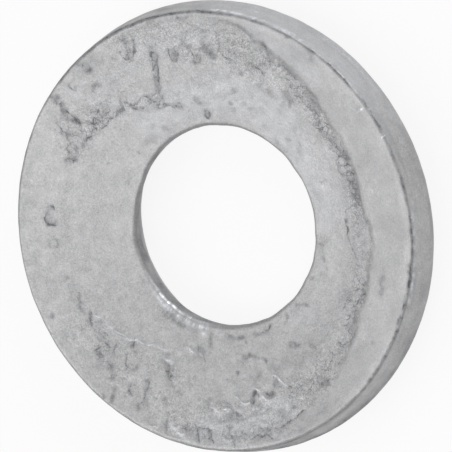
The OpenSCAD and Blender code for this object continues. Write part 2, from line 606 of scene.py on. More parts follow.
# The coarse grain at the top, with the drops and spots in it
TOP = (
    skin_edge(0.17, ((5.1, 15.8), (5, 15.3), (5.4, 14.8), (6.4, 14.6), (7.4, 14.9), (8.2, 15.5)), 1),
    smudge(0.38, ((6.9, 15.6), (6.6, 15.2), (6.4, 14.9)), 1),
    skin_edge(0.16, ((12.9, 15.3), (13.1, 14.7), (13.9, 14.3), (15.3, 14.3), (16, 14.7)), 0.9),
    skin_edge(0.16, ((16, 14.7), (15.7, 15.2), (14.7, 15.1), (14.5, 14.7)), 0.7),
    smudge(0.30, ((14.2, 14.8), (14.9, 14.6)), 0.7),
    smudge(0.30, ((10.8, 16.2), (11.8, 15.9), (12.8, 15.8)), 0.9),
    smudge(0.55, ((18.2, 15.5), (19.3, 15.2), (20.1, 15)), 1.2),
    smudge(0.26, ((19.8, 15.1), (20.4, 14.9)), 1),
    haze(0.50, ((21.5, 15.5), (23.5, 15.5)), 0.9),
    lip(0.16, ((25, 15.1), (27, 14.9), (29, 14.9)), 0.7),
    pit(0.16, ((30.2, 13.9),), 0.6),
    pit(0.17, ((31, 13.7),), 0.7),
    pit(0.15, ((33.4, 14.2),), 0.5),
    smudge(0.20, ((33.3, 14.8), (34.6, 14.9), (35.6, 14.8), (37, 14.7)), 0.6),
    skin_edge(0.16, ((37, 14.7), (38.6, 14.5), (39.9, 14.2), (40.2, 13.8)), 0.8),
    smudge(0.16, ((38, 13.2), (39.2, 13.4), (40, 13.8)), 0.6),
    smudge(0.16, ((40.4, 13), (42.5, 13), (44.3, 13.1)), 0.6),
    pit(0.16, ((28.3, 12),), 0.7),
    pit(0.15, ((27.4, 11.8),), 0.5),
    smudge(0.20, ((15, 18.5), (13, 18.3), (11, 18.3)), 0.8),
    smudge(0.26, ((3, 18.5), (4.6, 18.5)), 0.9),
    haze(0.65, ((357, 18.5), (3, 18.5), (10, 18.4), (17, 18.3), (23, 18)), 0.8),
    haze(0.75, ((24, 17.9), (29, 17.9), (34, 17.9)), 0.5),
    haze(0.80, ((10, 16.8), (16, 17.2), (22, 16.8), (28, 16.2)), 0.7),
    haze(0.80, ((27, 15.4), (33, 15.6), (38, 15)), 0.5),
    grain(1.7, ((352, 17.7), (0, 17.3), (10, 17.1), (20, 16.9), (30, 16.2)), 1),
    grain(1.5, ((8, 15.6), (18, 15.5), (28, 15.3), (38, 15.3)), 0.9),
    grain(1.1, ((28, 14), (38, 14), (48, 14.4), (58, 14), (66, 13.8)), 0.7),
)

# The rough crust just inside the foot of the thick smooth band, down the right side
CRUST = (
    crease(0.20, ((29.8, 17.9), (30.8, 17.7), (32, 17.4), (33.6, 17.2)), 0.6),
    haze(0.40, ((30, 17.6), (32, 17.3), (34.5, 17)), 1.3),
    pit(0.20, ((37.4, 17.1), (37.8, 16.9), (38.8, 16.8)), 2.2),
    smudge(0.35, ((45, 15.9), (47.5, 15.9), (50, 15.7)), 1),
    smudge(0.32, ((54, 15.4), (56, 15.4), (58.2, 15.2)), 1.1),
    smudge(0.35, ((59.5, 15.1), (61.5, 14.9), (63.8, 14.8)), 1.1),
    crease(0.17, ((59.2, 14.9), (60.2, 14.7), (61.2, 14.7)), 0.6),
    smudge(0.35, ((48.7, 13.8), (50.3, 13.5), (52.3, 13.5)), 1),
    smudge(0.20, ((52.4, 13.8), (53.6, 13.8)), 0.9),
    smudge(0.20, ((50.4, 13.2), (51.4, 12.8)), 0.6),
    smudge(0.22, ((59, 11.8), (60.4, 11.5)), 0.7),
    haze(0.50, ((57.5, 13), (59, 12.4), (60, 11.8)), 0.8),
    smudge(0.28, ((65.8, 13.7), (66.8, 13.4), (68.2, 13.5)), 1.1),
    skin_edge(0.17, ((62, 13.3), (64.5, 13.2), (67, 13.3), (69, 13.3)), 0.7),
    skin_edge(0.18, ((68, 13.1), (69, 12.8), (69.7, 12.5), (70.5, 12.1)), 0.9),
    skin_edge(0.22, ((69.8, 13.3), (70.8, 13.6), (72, 13.9), (73.6, 14), (75.2, 13.8)), 1),
    skin_edge(0.22, ((75.2, 13.8), (77, 13.9), (78.5, 14), (79.4, 13.6), (80.3, 13.2)), 1),
    smudge(0.30, ((71.5, 13.5), (74, 13.6), (77, 13.6)), 0.9),
    smudge(0.35, ((79.4, 14.4), (81, 14.3), (82.4, 14.1), (83.6, 14)), 1.2),
    crease(0.20, ((82, 14.3), (83.4, 14.1), (84.4, 14.3), (86.2, 14.4)), 0.7),
    skin_edge(0.18, ((80.3, 13.1), (82.2, 13), (84, 12.8), (85.6, 12.9), (87, 13.3)), 1),
    skin_edge(0.18, ((87, 13.3), (88.2, 13.6), (89.6, 13.6)), 0.9),
    bead(0.35, ((82, 13.5), (84.5, 13.4)), 0.5),
    smudge(0.45, ((86.5, 14), (88.5, 13.9), (90.5, 13.9), (92.5, 13.8)), 1.1),
    skin_edge(0.18, ((89.5, 14.4), (91.2, 14.3), (92.4, 14.3)), 0.8),
    smudge(0.30, ((93.5, 13.9), (95.2, 13.9), (96.8, 13.8)), 1),
    pit(0.18, ((93.3, 13.3), (94, 13.2)), 0.9),
    pit(0.18, ((97.8, 13.6), (98, 13.3)), 0.9),
    skin_edge(0.18, ((90, 13.4), (92.2, 13.3), (94.4, 13.2), (96.8, 13.2)), 0.8),
    crease(0.17, ((95, 14.1), (98, 14.1), (101, 14.1), (103.2, 14)), 0.75),
    crease(0.19, ((103, 14), (104.4, 14.2), (105.8, 14.4), (107.2, 14.5)), 0.75),
    smudge(0.24, ((101.8, 13.8), (103.6, 13.8)), 1),
    skin_edge(0.16, ((98.2, 13.1), (98.8, 12.7), (99.4, 12.3), (101.5, 12.2), (103.5, 12.2)), 1.2),
    crease(0.19, ((103.5, 12), (105, 12.1), (106.4, 12.2), (108.2, 12.2), (109.3, 12.1)), 2),
    crease(0.17, ((105.7, 12.1), (106.4, 11.8), (107, 11.6)), 0.7),
    skin_edge(0.17, ((110, 12.3), (112, 12.3), (114, 12.5), (115.8, 12.9), (117.8, 13.1)), 1.2),
    smudge(0.20, ((110, 12.9), (112, 12.9), (113.5, 12.9)), 0.7),
    skin_edge(0.20, ((120.2, 13.7), (119.7, 13.2), (119.8, 12.7)), 1),
    bead(0.26, ((122.2, 13.6),), 0.8),
    haze(0.55, ((109, 13.8), (113, 13.7), (117, 13.7)), 0.7),
    smudge(0.28, ((123.8, 14.2), (126.5, 14.3), (128.8, 14.5)), 0.9),
    smudge(0.34, ((128.8, 14.5), (131.6, 14.4), (134.6, 14.5), (137.6, 14.6)), 1.1),
    smudge(0.34, ((137.6, 14.6), (140, 14.8), (142.4, 14.7)), 1.1),
    crease(0.17, ((128.8, 14.6), (130.2, 14.4), (131.6, 14.5)), 0.7),
    crease(0.17, ((132.6, 14), (133.8, 13.9)), 0.6),
    smudge(0.45, ((129, 13.4), (130.8, 13.3), (133, 13.4)), 0.8),
    crease(0.18, ((135.4, 13.1), (136.4, 13.2), (137.2, 13.1)), 0.8),
    bead(0.18, ((136.1, 13.6),), 1),
    bead(0.16, ((137.6, 13.4),), 0.9),
    skin_edge(0.17, ((131.4, 12.7), (133, 12.6), (134.5, 12.5), (136.2, 12.4)), 0.9),
    smudge(0.20, ((137.8, 12.6), (139.6, 12.6), (141.6, 12.7)), 0.6),
    skin_edge(0.18, ((139.8, 15), (142, 15.1), (143, 15.3), (145, 15.2), (146, 15.4)), 1),
    skin_edge(0.18, ((146, 15.4), (147.6, 15.3), (149.2, 15.4)), 0.8),
    crease(0.18, ((151.4, 15.5), (152.8, 15.6), (154, 15.7)), 0.8),
    haze(0.65, ((140, 14.2), (146, 14.5), (152, 14.6)), 0.8),
    skin_edge(0.17, ((146.8, 13.2), (148.4, 13.1), (150.2, 13.1)), 0.9),
    lip(0.15, ((150.4, 13.2), (153, 13.4), (155.4, 13.3), (158, 13), (159.2, 12.6)), 0.6),
    smudge(0.16, ((153, 13.2), (155.4, 13.1), (157.8, 12.8)), 0.6),
    crease(0.24, ((160, 16), (161.4, 16), (162.4, 15.8), (163.1, 15.4)), 0.6),
    smudge(0.34, ((160.6, 16), (162.4, 15.8), (163, 15.5)), 1.8),
    pit(0.17, ((167.1, 16.5), (167, 16.2)), 0.7),
    skin_edge(0.18, ((165, 15.1), (167, 15), (169, 15.1), (170.6, 15)), 0.9),
    crease(0.20, ((168.6, 13.6), (169.6, 13.4)), 0.6),
    smudge(0.28, ((166.8, 13.2), (168.6, 13.4)), 0.7),
    pit(0.26, ((165.9, 11.7), (166.7, 11.6)), 0.7),
    pit(0.17, ((163.3, 12),), 0.5),
    grain(1.3, ((70, 13.5), (82, 13.5), (94, 13.4), (106, 13.2), (118, 13.4)), 0.65),
    grain(1.3, ((122, 13.7), (132, 13.8), (142, 14), (152, 14.4), (162, 14.7)), 0.65),
)

# Soft spots and streaks between the crust and the bore, and on the face's inner edge
INNER = (
    skin_edge(0.17, ((12.3, 10), (12, 9.7), (12.6, 9.4), (13.7, 9.4), (14.5, 9.6)), 1.2),
    skin_edge(0.17, ((14.5, 9.6), (14.6, 9.9), (13.6, 10.1), (12.3, 10)), 1),
    smudge(0.30, ((12.7, 9.7), (14.2, 9.7)), 1.2),
    smudge(0.32, ((9.2, 11.3), (10.2, 11), (10.8, 10.8)), 0.8),
    smudge(0.16, ((27.4, 12.1), (28.4, 11.9)), 1.3),
    smudge(0.14, ((26.6, 10.9), (27.2, 10.9)), 1.3),
    smudge(0.15, ((10.2, 13.2), (10.6, 12.9)), 0.9),
    smudge(0.20, ((13.4, 14.3), (15.4, 14.3)), 1),
    smudge(0.24, ((30.6, 13.8), (31.4, 13.7)), 1.1),
    smudge(0.18, ((38.8, 14.2), (39.2, 13.6), (39, 13.1)), 0.7),
    smudge(0.34, ((49.4, 13.9), (51, 13.6), (52.8, 13.7)), 1),
    smudge(0.22, ((52.4, 13.3), (52.8, 13)), 0.9),
    smudge(0.24, ((50.2, 12.9), (50.6, 12.5)), 0.7),
    smudge(0.24, ((43.4, 13), (44.6, 12.8)), 0.7),
    haze(0.50, ((41, 13.1), (46, 12.9)), 0.8),
    haze(0.55, ((57, 13.2), (59, 12.4)), 0.7),
    bead(0.12, ((29.2, 10.8), (29.4, 10.5)), 0.6),
    smudge(0.28, ((165.4, 11.8), (166.6, 11.6)), 1.2),
    smudge(0.17, ((163.4, 12), (165, 11.8)), 1.1),
    smudge(0.26, ((158, 13), (159, 12.7)), 1),
    smudge(0.24, ((175.8, 12.7), (177.8, 12.5)), 0.9),
    smudge(0.30, ((184, 12.7), (187, 12.9)), 0.8),
    smudge(0.22, ((188, 11.1), (190, 11)), 0.8),
    smudge(0.16, ((188.8, 10), (189, 9.8)), 1),
    smudge(0.30, ((172.8, 9.3), (175, 9.4), (177.6, 9.4)), 0.8),
    haze(0.60, ((170, 12.4), (174, 12.9), (179, 12.6)), 0.7),
    clean(1.00, ((147, 10.5), (152, 10.3), (156, 10.3)), 0.45),
    smudge(0.17, ((9, 11.4), (9.2, 11), (10.4, 10.8), (11.4, 10.9), (10.8, 11.3)), 1),
    haze(0.28, ((10.2, 11.1),), 1),
    pit(0.15, ((26.5, 10.9),), 0.8),
    smudge(0.15, ((28.8, 10.6), (28.9, 10.3)), 0.9),
    smudge(0.15, ((33.2, 11.2), (34.2, 11.1)), 0.8),
    smudge(0.16, ((36.4, 10.8), (37.2, 10.9)), 0.8),
    smudge(0.15, ((40.2, 10.8),), 0.6),
    smudge(0.18, ((59, 10.3), (60.6, 10.4)), 0.7),
    smudge(0.18, ((66.5, 10.5), (66.8, 10.2)), 0.7),
    smudge(0.22, ((54.6, 9.3), (56.6, 9.3)), 0.7),
    smudge(0.16, ((85, 10.8), (85.1, 10.5)), 0.8),
    haze(0.40, ((83.6, 9.5), (86.6, 9.6), (93.2, 9.9)), 0.8),
    haze(0.50, ((113, 9.8), (115.4, 9.6), (117.4, 9.5)), 1.1),
    smudge(0.20, ((115.4, 9.6), (115.6, 9.3)), 0.9),
    smudge(0.20, ((121.6, 9.7), (122.8, 9.8)), 0.8),
    haze(0.40, ((127, 10.1), (130, 10.1)), 0.8),
    smudge(0.22, ((134.4, 9.3), (135.2, 9.1)), 0.8),
    haze(0.35, ((139, 9.5), (143, 9.4)), 1),
    smudge(0.22, ((148, 10), (149.6, 9.7), (151, 9.4), (153, 9.2)), 1),
    haze(0.35, ((147, 9.6), (152, 9.4), (157, 9.1)), 1.1),
    smudge(0.17, ((160.6, 9.3), (162.4, 9.6), (164.6, 9.7)), 0.9),
    skin_edge(0.18, ((172.4, 9.3), (174, 9.5), (176, 9.4), (177.6, 9.5), (178.8, 9.4)), 1),
    smudge(0.26, ((180.2, 11.8), (181.4, 11.6)), 1.1),
    smudge(0.18, ((183.4, 11.4), (185.4, 11.2), (187.8, 11)), 1),
    smudge(0.20, ((187.8, 11), (190, 11.2), (191.6, 10.9)), 0.8),
    smudge(0.22, ((184, 12.8), (186, 12.9), (188.2, 12.9)), 0.6),
    smudge(0.17, ((193.8, 12.4), (194.2, 12.3)), 1.2),
    pit(0.15, ((198.3, 12.9),), 0.6),
    smudge(0.22, ((181, 9.5), (184, 9.3)), 0.9),
    smudge(0.22, ((189.6, 9.4), (191.4, 9.5), (193, 9.4)), 1.1),
    smudge(0.26, ((195.4, 9.5), (197.6, 9.4), (200, 9.3)), 1),
    skin_edge(0.17, ((209.4, 11.5), (210.6, 11.3), (211.4, 11), (212.6, 11)), 1),
    skin_edge(0.20, ((212, 11.5), (213.2, 11.3), (213.8, 10.9), (214.6, 10.6)), 1),
    smudge(0.20, ((210.6, 10.8), (212.4, 10.7), (213.6, 10.6)), 0.9),
    bead(0.14, ((212.4, 11.2),), 1.2),
    haze(0.50, ((210, 11.1), (213.6, 11)), 0.8),
    lip(0.14, ((216.4, 11.2), (217.8, 11.1), (219.4, 11)), 1.3),
    smudge(0.22, ((208.2, 10.2), (208.8, 9.8), (209.2, 9.4)), 0.9),
    bead(0.18, ((213, 9.4), (214.2, 9.5)), 1),
    smudge(0.30, ((218.6, 9.5), (221.6, 9.6), (224.4, 9.5)), 0.55),
    smudge(0.32, ((225.4, 9.5), (227.4, 9.6), (230, 9.6)), 0.85),
    haze(0.40, ((229, 9.5), (235, 9.5), (241, 9.4)), 1.1),
    smudge(0.13, ((231, 9.2), (231.8, 9.7)), 0.8),
    smudge(0.13, ((233.2, 9.2), (234, 9.8)), 0.8),
    smudge(0.13, ((235.6, 9.2), (236.3, 9.7)), 0.8),
    smudge(0.13, ((238.2, 9.1), (238.9, 9.6)), 0.8),
    haze(0.40, ((252, 9.5), (257, 9.5)), 0.7),
    haze(0.45, ((334.8, 9.9), (337.2, 9.8), (339.6, 9.9)), 1),
    smudge(0.20, ((335.6, 10.1), (337.2, 9.8), (338.4, 9.5)), 0.6),
    smudge(0.20, ((346.6, 9.7), (347.8, 9.8), (348.8, 9.5)), 1),
    pit(0.15, ((328, 9.9),), 0.6),
    smudge(0.17, ((325, 10.2),), 0.7),
    smudge(0.17, ((342, 10.5), (344, 10.6)), 0.6),
    smudge(0.16, ((311, 9.6), (314, 9.6), (316, 9.8)), 0.7),
    pit(0.14, ((293.8, 11.8),), 0.5),
    pit(0.14, ((304.6, 11.6),), 0.6),
    smudge(0.16, ((315, 11.9), (315.6, 11.8)), 0.8),
    smudge(0.20, ((297.4, 11.2), (298.6, 10.7)), 0.5),
    smudge(0.20, ((241.4, 12.1), (241.8, 11.7)), 0.9),
    pit(0.16, ((229.6, 11.7),), 0.7),
    smudge(0.16, ((256.5, 12.1),), 0.6),
    smudge(0.16, ((245.6, 11.4), (246.8, 11)), 0.5),
)

# The thick smooth band itself: a few soft spots, and along the face's outer edge bright beads that are
# painted glints and dark breaks that are painted shade
BAND = (
    smudge(0.24, ((121.4, 16.2), (123, 16), (124.6, 16.3), (126.4, 16.2)), 0.9),
    smudge(0.17, ((140.4, 17.4), (140.8, 17.1)), 0.7),
    smudge(0.30, ((51, 18.8), (52.4, 18.6), (53, 18.2)), 0.8),
    lip(0.16, ((72.2, 18.5), (72.3, 18)), 1.3),
    smudge(0.15, ((71.5, 18.3), (71.6, 18)), 0.9),
    lip(0.15, ((81.2, 18.9), (81.4, 18.6)), 1.2),
    smudge(0.24, ((43, 18.9), (43.8, 18.7)), 1),
    haze(0.60, ((46, 17.2), (49, 17.4)), 0.5),
    haze(0.70, ((104, 17), (107, 16.5), (108, 17.8)), 0.5),
    haze(0.60, ((83, 16.4), (86, 16)), 0.4),
    haze(0.60, ((138, 16.4), (142, 16.8), (146, 16.4)), 0.5),
    smudge(0.20, ((160, 17.8), (161.5, 17.9)), 0.5),
    haze(0.50, ((165, 17.9), (172, 18.2), (178, 18.3)), 0.9),
)

# On the edge between the face and the rim: dark breaks and dots that are painted shade along its groove,
# and bright beads that are painted glints
EDGE = (
    crease(0.20, ((344, 18.9), (350, 18.9), (357, 18.9), (3, 18.9)), 0.55),
    crease(0.20, ((3, 18.9), (10, 18.9), (17, 18.9), (22, 18.8), (24.5, 18.8)), 0.65),
    crease(0.24, ((9.5, 18.9), (12.5, 18.9)), 0.6),
    crease(0.24, ((21, 18.9), (23, 18.7)), 0.6),
    pit(0.20, ((70.6, 18.9), (71.6, 18.9), (72.6, 18.8)), 0.9),
    pit(0.17, ((74.2, 18.9), (75, 19)), 0.8),
    pit(0.17, ((78.4, 18.9), (79.6, 18.9)), 0.9),
    crease(0.17, ((84, 18.9), (86, 18.9)), 0.6),
    crease(0.16, ((55, 18.9), (60, 19), (66, 18.9)), 0.4),
    pit(0.16, ((93, 18.9), (94.2, 18.9)), 0.8),
    pit(0.16, ((96.6, 18.9), (97.4, 18.9)), 0.6),
    pit(0.16, ((106.6, 18.9), (107.6, 18.9)), 0.7),
    pit(0.17, ((111.8, 18.9), (113, 18.9)), 1),
    pit(0.16, ((115.4, 18.8), (116.2, 18.7)), 0.7),
    pit(0.17, ((117.6, 18.7), (118.6, 18.8)), 0.9),
    pit(0.18, ((120.2, 18.9), (121.4, 18.8)), 1.1),
    pit(0.16, ((126.6, 18.8), (127.6, 18.7)), 0.8),
    pit(0.17, ((129.8, 18.8), (131.8, 18.7)), 0.9),
    pit(0.16, ((133.4, 18.8), (134, 18.9)), 0.8),
    pit(0.16, ((136, 18.8),), 0.8),
    pit(0.16, ((141.4, 18.9), (142, 18.8)), 0.8),
    pit(0.16, ((145.8, 18.8), (147.4, 18.8)), 0.8),
    pit(0.16, ((149, 18.8), (150.2, 18.7)), 0.8),
    pit(0.17, ((152.2, 18.9), (153, 18.8)), 0.9),
    smudge(0.26, ((156, 18.8), (164, 18.8), (172, 18.7), (180, 18.6)), 0.35),
    # These beads are painted glints just under the front edge
    bead(0.13, ((23.6, 19.1), (26, 19.1), (28.4, 19.1)), 1.7),
    bead(0.12, ((29.6, 19.1), (33, 19.1), (36.6, 19.1)), 1),
    bead(0.12, ((39.4, 19.1), (41.6, 19.1)), 0.8),
    bead(0.13, ((43.4, 19.1), (45.4, 19.1), (47.2, 19.1)), 1.4),
    bead(0.11, ((165, 19.1), (172, 19.1), (176, 19.1)), 0.8),
    crease(0.17, ((103, 18.9), (108, 18.9), (114, 18.9), (120, 18.8)), 0.5),
    crease(0.15, ((120, 18.8), (128, 18.7), (136, 18.8), (146, 18.8)), 0.35),
)

# The broken skin along the bottom: wavy edges with painted highlights, and painted shade in the hollows
# behind them, in sparkling grain
BOTTOM = (
    lip(0.14, ((174.8, 14.4), (175.4, 14.2), (176.1, 13.9), (177, 13.4), (178.4, 13.2)), 1.4),
    smudge(0.28, ((178, 13.7), (178.9, 13.8)), 1.6),
    skin_edge(0.16, ((178.4, 13.2), (179.3, 13.6), (179.2, 14.1), (178, 14.2)), 0.9),
    lip(0.14, ((180.2, 15), (182.1, 15.1), (183.9, 14.9), (185, 14.5)), 1.4),
    lip(0.14, ((185, 14.5), (185.5, 14), (187, 13.9), (188.1, 13.8)), 2),
    smudge(0.28, ((180.9, 14.5), (182.6, 14.5)), 2),
    crease(0.18, ((180.3, 14.3), (181.2, 14.7), (182.6, 14.7), (183.4, 14.4)), 0.9),
    smudge(0.26, ((189, 15), (188.6, 14.5), (188, 14.1)), 2.2),
    smudge(0.20, ((186.2, 14.4), (187.4, 14.2)), 0.9),
    lip(0.14, ((189.6, 14.9), (190.6, 15), (191.8, 15), (193.3, 14.7), (194.2, 14.5)), 1.6),
    lip(0.14, ((194.2, 14.5), (195, 14.4), (195.9, 14.3)), 0.9),
    skin_edge(0.20, ((172.1, 16.9), (173.6, 17.1), (176.1, 17.3), (178.5, 17.3), (180.2, 17.5)), 1.2),
    smudge(0.24, ((179.4, 16.8), (179.6, 16.6)), 1.3),
    smudge(0.20, ((174.7, 16.4), (175, 16.2)), 0.8),
    pit(0.20, ((194.2, 15.8), (194.9, 15.8)), 1.1),
    smudge(0.34, ((196.4, 15.7), (197.6, 15.8), (198.4, 15.9)), 0.9),
    crease(0.20, ((196.6, 15.2), (197.6, 14.9), (198.8, 14.8)), 0.45),
    lip(0.14, ((196.6, 15.5), (197.8, 15.3), (199.2, 15.3)), 1.2),
    lip(0.14, ((198.5, 15.6), (200, 15.7), (201.5, 15.6), (203.2, 15.3), (204.9, 15.2)), 0.7),
    smudge(0.26, ((203.8, 15.5), (205.2, 15.1), (206, 14.9)), 0.9),
    pit(0.15, ((204.4, 14.6), (205, 14.5)), 0.7),
    skin_edge(0.22, ((184.4, 18.1), (185.6, 17.7), (187.2, 18), (188.8, 17.7), (190.4, 17.9)), 1),
    smudge(0.28, ((184.8, 17.4), (186.4, 17.3), (188, 17.5)), 0.9),
    smudge(0.28, ((191.6, 17.5), (193.2, 17.2)), 0.8),
    skin_edge(0.20, ((195.8, 18.4), (196.6, 17.9), (197.4, 17.3), (197.2, 16.7)), 1.1),
    smudge(0.20, ((196.6, 16.9), (197, 16.2), (197.3, 15.2)), 0.9),
    skin_edge(0.20, ((202.4, 18.1), (202.9, 17.7), (203.5, 17.2), (205.2, 17.1), (207, 17.2)), 1.2),
    skin_edge(0.20, ((206.4, 18.3), (206.9, 17.8), (207.5, 17.3), (208.3, 17)), 1.1),
    smudge(0.22, ((203.3, 17.8), (203.7, 17.4), (204.4, 17.2)), 1.6),
    smudge(0.24, ((207, 17.9), (207.4, 17.4)), 1.1),
    haze(0.40, ((203.8, 17.7), (205.4, 17.6)), 0.9),
    smudge(0.30, ((209.4, 17.9), (211, 17.4), (212.2, 17.6)), 0.9),
    bead(0.20, ((211.4, 18), (213.2, 18)), 1.1),
    bead(0.24, ((213.4, 17.6), (214.6, 17.7), (216.2, 17.4)), 1.3),
    bead(0.18, ((196.4, 18), (198.6, 17.9)), 1.1),
    bead(0.17, ((186, 16.9), (187, 16.8)), 0.9),
    bead(0.17, ((193, 15.6), (194.4, 15.5)), 1.1),
    crease(0.17, ((182, 18.5), (184, 18.3)), 0.6),
    haze(0.60, ((178, 16.9), (181, 17.3), (184, 17.7)), 1.1),
    haze(0.70, ((186, 17.9), (191, 17.6), (196, 17.8), (202, 17.7), (208, 17.8)), 0.9),
    haze(0.50, ((192, 16.4), (196, 16.2), (199, 16)), 0.8),
    grain(1.8, ((160, 15.4), (170, 15.8), (180, 16.5), (190, 16.9), (200, 17.1)), 1),
    grain(1.4, ((200, 17.2), (208, 17.2), (215, 17.2)), 0.9),
    grain(1, ((172, 14.4), (180, 14.9), (190, 15.1), (200, 15.4), (207, 15.6)), 0.6),
)

# The long thin lip at the lower left, whose bright line is a painted highlight, and the stains outside it
LOWER_LEFT = (
    lip(0.13, ((220, 11.5), (222, 11.6), (224, 11.7), (226, 11.8), (228, 12.1)), 0.35),
    lip(0.14, ((228, 12.1), (229.6, 12.3), (231.4, 12.2), (233.2, 12.3), (235, 12.6)), 0.85),
    lip(0.13, ((235, 12.6), (237, 12.8), (239, 12.9), (241, 13.2), (243, 13.4)), 0.85),
    lip(0.13, ((243, 13.4), (245, 13.6), (247, 13.8), (249, 13.9), (250.4, 14)), 0.9),
    smudge(0.15, ((228.6, 12.4), (231, 12.4), (234, 12.6), (237, 12.9)), 0.7),
    skin_edge(0.15, ((240.6, 13.3), (242.4, 13.5), (244.6, 13.7), (247, 13.9)), 0.8),
    lip(0.15, ((255.2, 14.3), (256.2, 14.5)), 1.4),
    crease(0.22, ((238.8, 13.6), (239.8, 13.5), (240.3, 13.2)), 0.9),
    smudge(0.26, ((239.2, 13.7), (240, 13.5)), 0.7),
    smudge(0.38, ((220.4, 14.4), (221.6, 14.1), (222.6, 13.7)), 0.75),
    crease(0.24, ((222.4, 13.8), (223.2, 13.4), (223.8, 13.1)), 0.25),
    smudge(0.34, ((222.8, 13.6), (224, 13.2), (226.6, 13)), 1.1),
    smudge(0.17, ((221.4, 13.3), (222.2, 12.8)), 0.9),
    bead(0.16, ((223, 12.7), (224.4, 12.6), (226, 12.7)), 1.2),
    smudge(0.18, ((226, 12.3), (227.6, 12.5)), 0.7),
    smudge(0.18, ((234.4, 15.2), (233.8, 14.8), (233.8, 14.5)), 1.2),
    skin_edge(0.16, ((234.8, 15.1), (236.2, 15.3), (237.6, 15), (238.6, 14.6), (239.2, 14.3)), 0.8),
    smudge(0.17, ((234.4, 13.9), (235, 13.5)), 0.9),
    smudge(0.20, ((237, 13.8), (237.8, 13.6)), 0.7),
    smudge(0.26, ((238.4, 16.8), (239.6, 16.5), (240.8, 16.1)), 1.1),
    smudge(0.18, ((241.6, 16.1), (242.5, 16.1)), 1.4),
    smudge(0.42, ((243.2, 16.9), (244.4, 16.5), (245.8, 16.2)), 0.7),
    smudge(0.16, ((247.2, 16.2), (247.8, 15.8)), 1.1),
    skin_edge(0.18, ((247.6, 16.2), (247.4, 15.8), (246.6, 15.5)), 1),
    lip(0.13, ((247, 16), (246.8, 15.6)), 0.9),
    skin_edge(0.17, ((245.4, 15.1), (246.6, 15.2), (248, 15.3), (249.4, 15.4), (250.6, 15.4)), 0.8),
    smudge(0.18, ((245.3, 15.2), (246.4, 15.2)), 1),
    smudge(0.20, ((242.2, 15.3), (243.4, 14.9), (244.2, 14.6)), 0.9),
    skin_edge(0.16, ((242.4, 15.2), (243.6, 14.9), (244.2, 14.6)), 0.9),
    haze(0.85, ((247, 14.8), (250.5, 14.8), (254, 14.7)), 1),
    haze(0.80, ((239, 16.2), (243, 16.1), (247, 16.1)), 0.8),
    skin_edge(0.22, ((254, 15.2), (255.6, 15.1), (257, 15), (258.2, 14.7)), 0.7),
    smudge(0.24, ((256, 15.1), (257.2, 15), (258.2, 14.8)), 1.2),
    smudge(0.20, ((258.8, 15.1), (260.4, 15.4), (262, 15.3), (263.4, 15.1), (265.2, 14.9)), 1.2),
    smudge(0.22, ((262, 15), (263.6, 15)), 0.7),
    haze(0.45, ((266, 15.2), (268, 15.3), (271.5, 15.4)), 0.8),
    smudge(0.28, ((234.3, 18.4), (234.8, 18)), 1.3),
    smudge(0.24, ((235, 17.8), (235.7, 17.3)), 0.9),
    smudge(0.22, ((236.7, 18.5), (237.2, 18.4)), 1.3),
    pit(0.18, ((226.4, 17.7), (226.8, 17.4)), 0.9),
    smudge(0.26, ((226.3, 17.7), (227.2, 17.4)), 1.1),
    haze(0.50, ((225.6, 17.6), (228.4, 17.6)), 1),
    smudge(0.17, ((230.4, 16.9), (231.4, 16.8), (232.2, 16.5), (232.6, 16.2)), 1.2),
    smudge(0.22, ((226.3, 17), (226.6, 16.5), (226.9, 16)), 0.9),
    skin_edge(0.16, ((226.6, 16.9), (226.9, 16.2), (227.1, 15.7), (227.3, 15.3)), 0.8),
    smudge(0.22, ((219.6, 16.1), (220, 15.7)), 0.9),
    skin_edge(0.15, ((230.5, 16.8), (231.6, 16.8), (232.4, 16.4), (231.8, 16.1)), 0.8),
    smudge(0.28, ((226.9, 16.1), (227.4, 15.6), (228, 15.2)), 1.2),
    smudge(0.18, ((224.6, 16.9), (225.6, 16.6)), 0.8),
    skin_edge(0.17, ((216.8, 17.9), (217.4, 17.2), (218.2, 16.7), (219.2, 16.2), (220.2, 15.7)), 0.4),
    smudge(0.24, ((216.6, 18.1), (217.6, 17.4)), 0.9),
    lip(0.15, ((219.6, 18.2), (220.8, 18.4), (222.2, 18.4), (223.2, 18.2)), 1.4),
    smudge(0.20, ((216, 14.9), (217, 14.7)), 0.8),
    haze(0.60, ((228, 14.6), (231, 14), (236, 14.4)), 0.6),
    grain(1.6, ((216, 16), (226, 16.2), (236, 16.2), (246, 16), (256, 16.4)), 0.5),
    grain(1.2, ((214, 13.4), (224, 13.4), (236, 14), (248, 14.6), (258, 15)), 0.45),
)

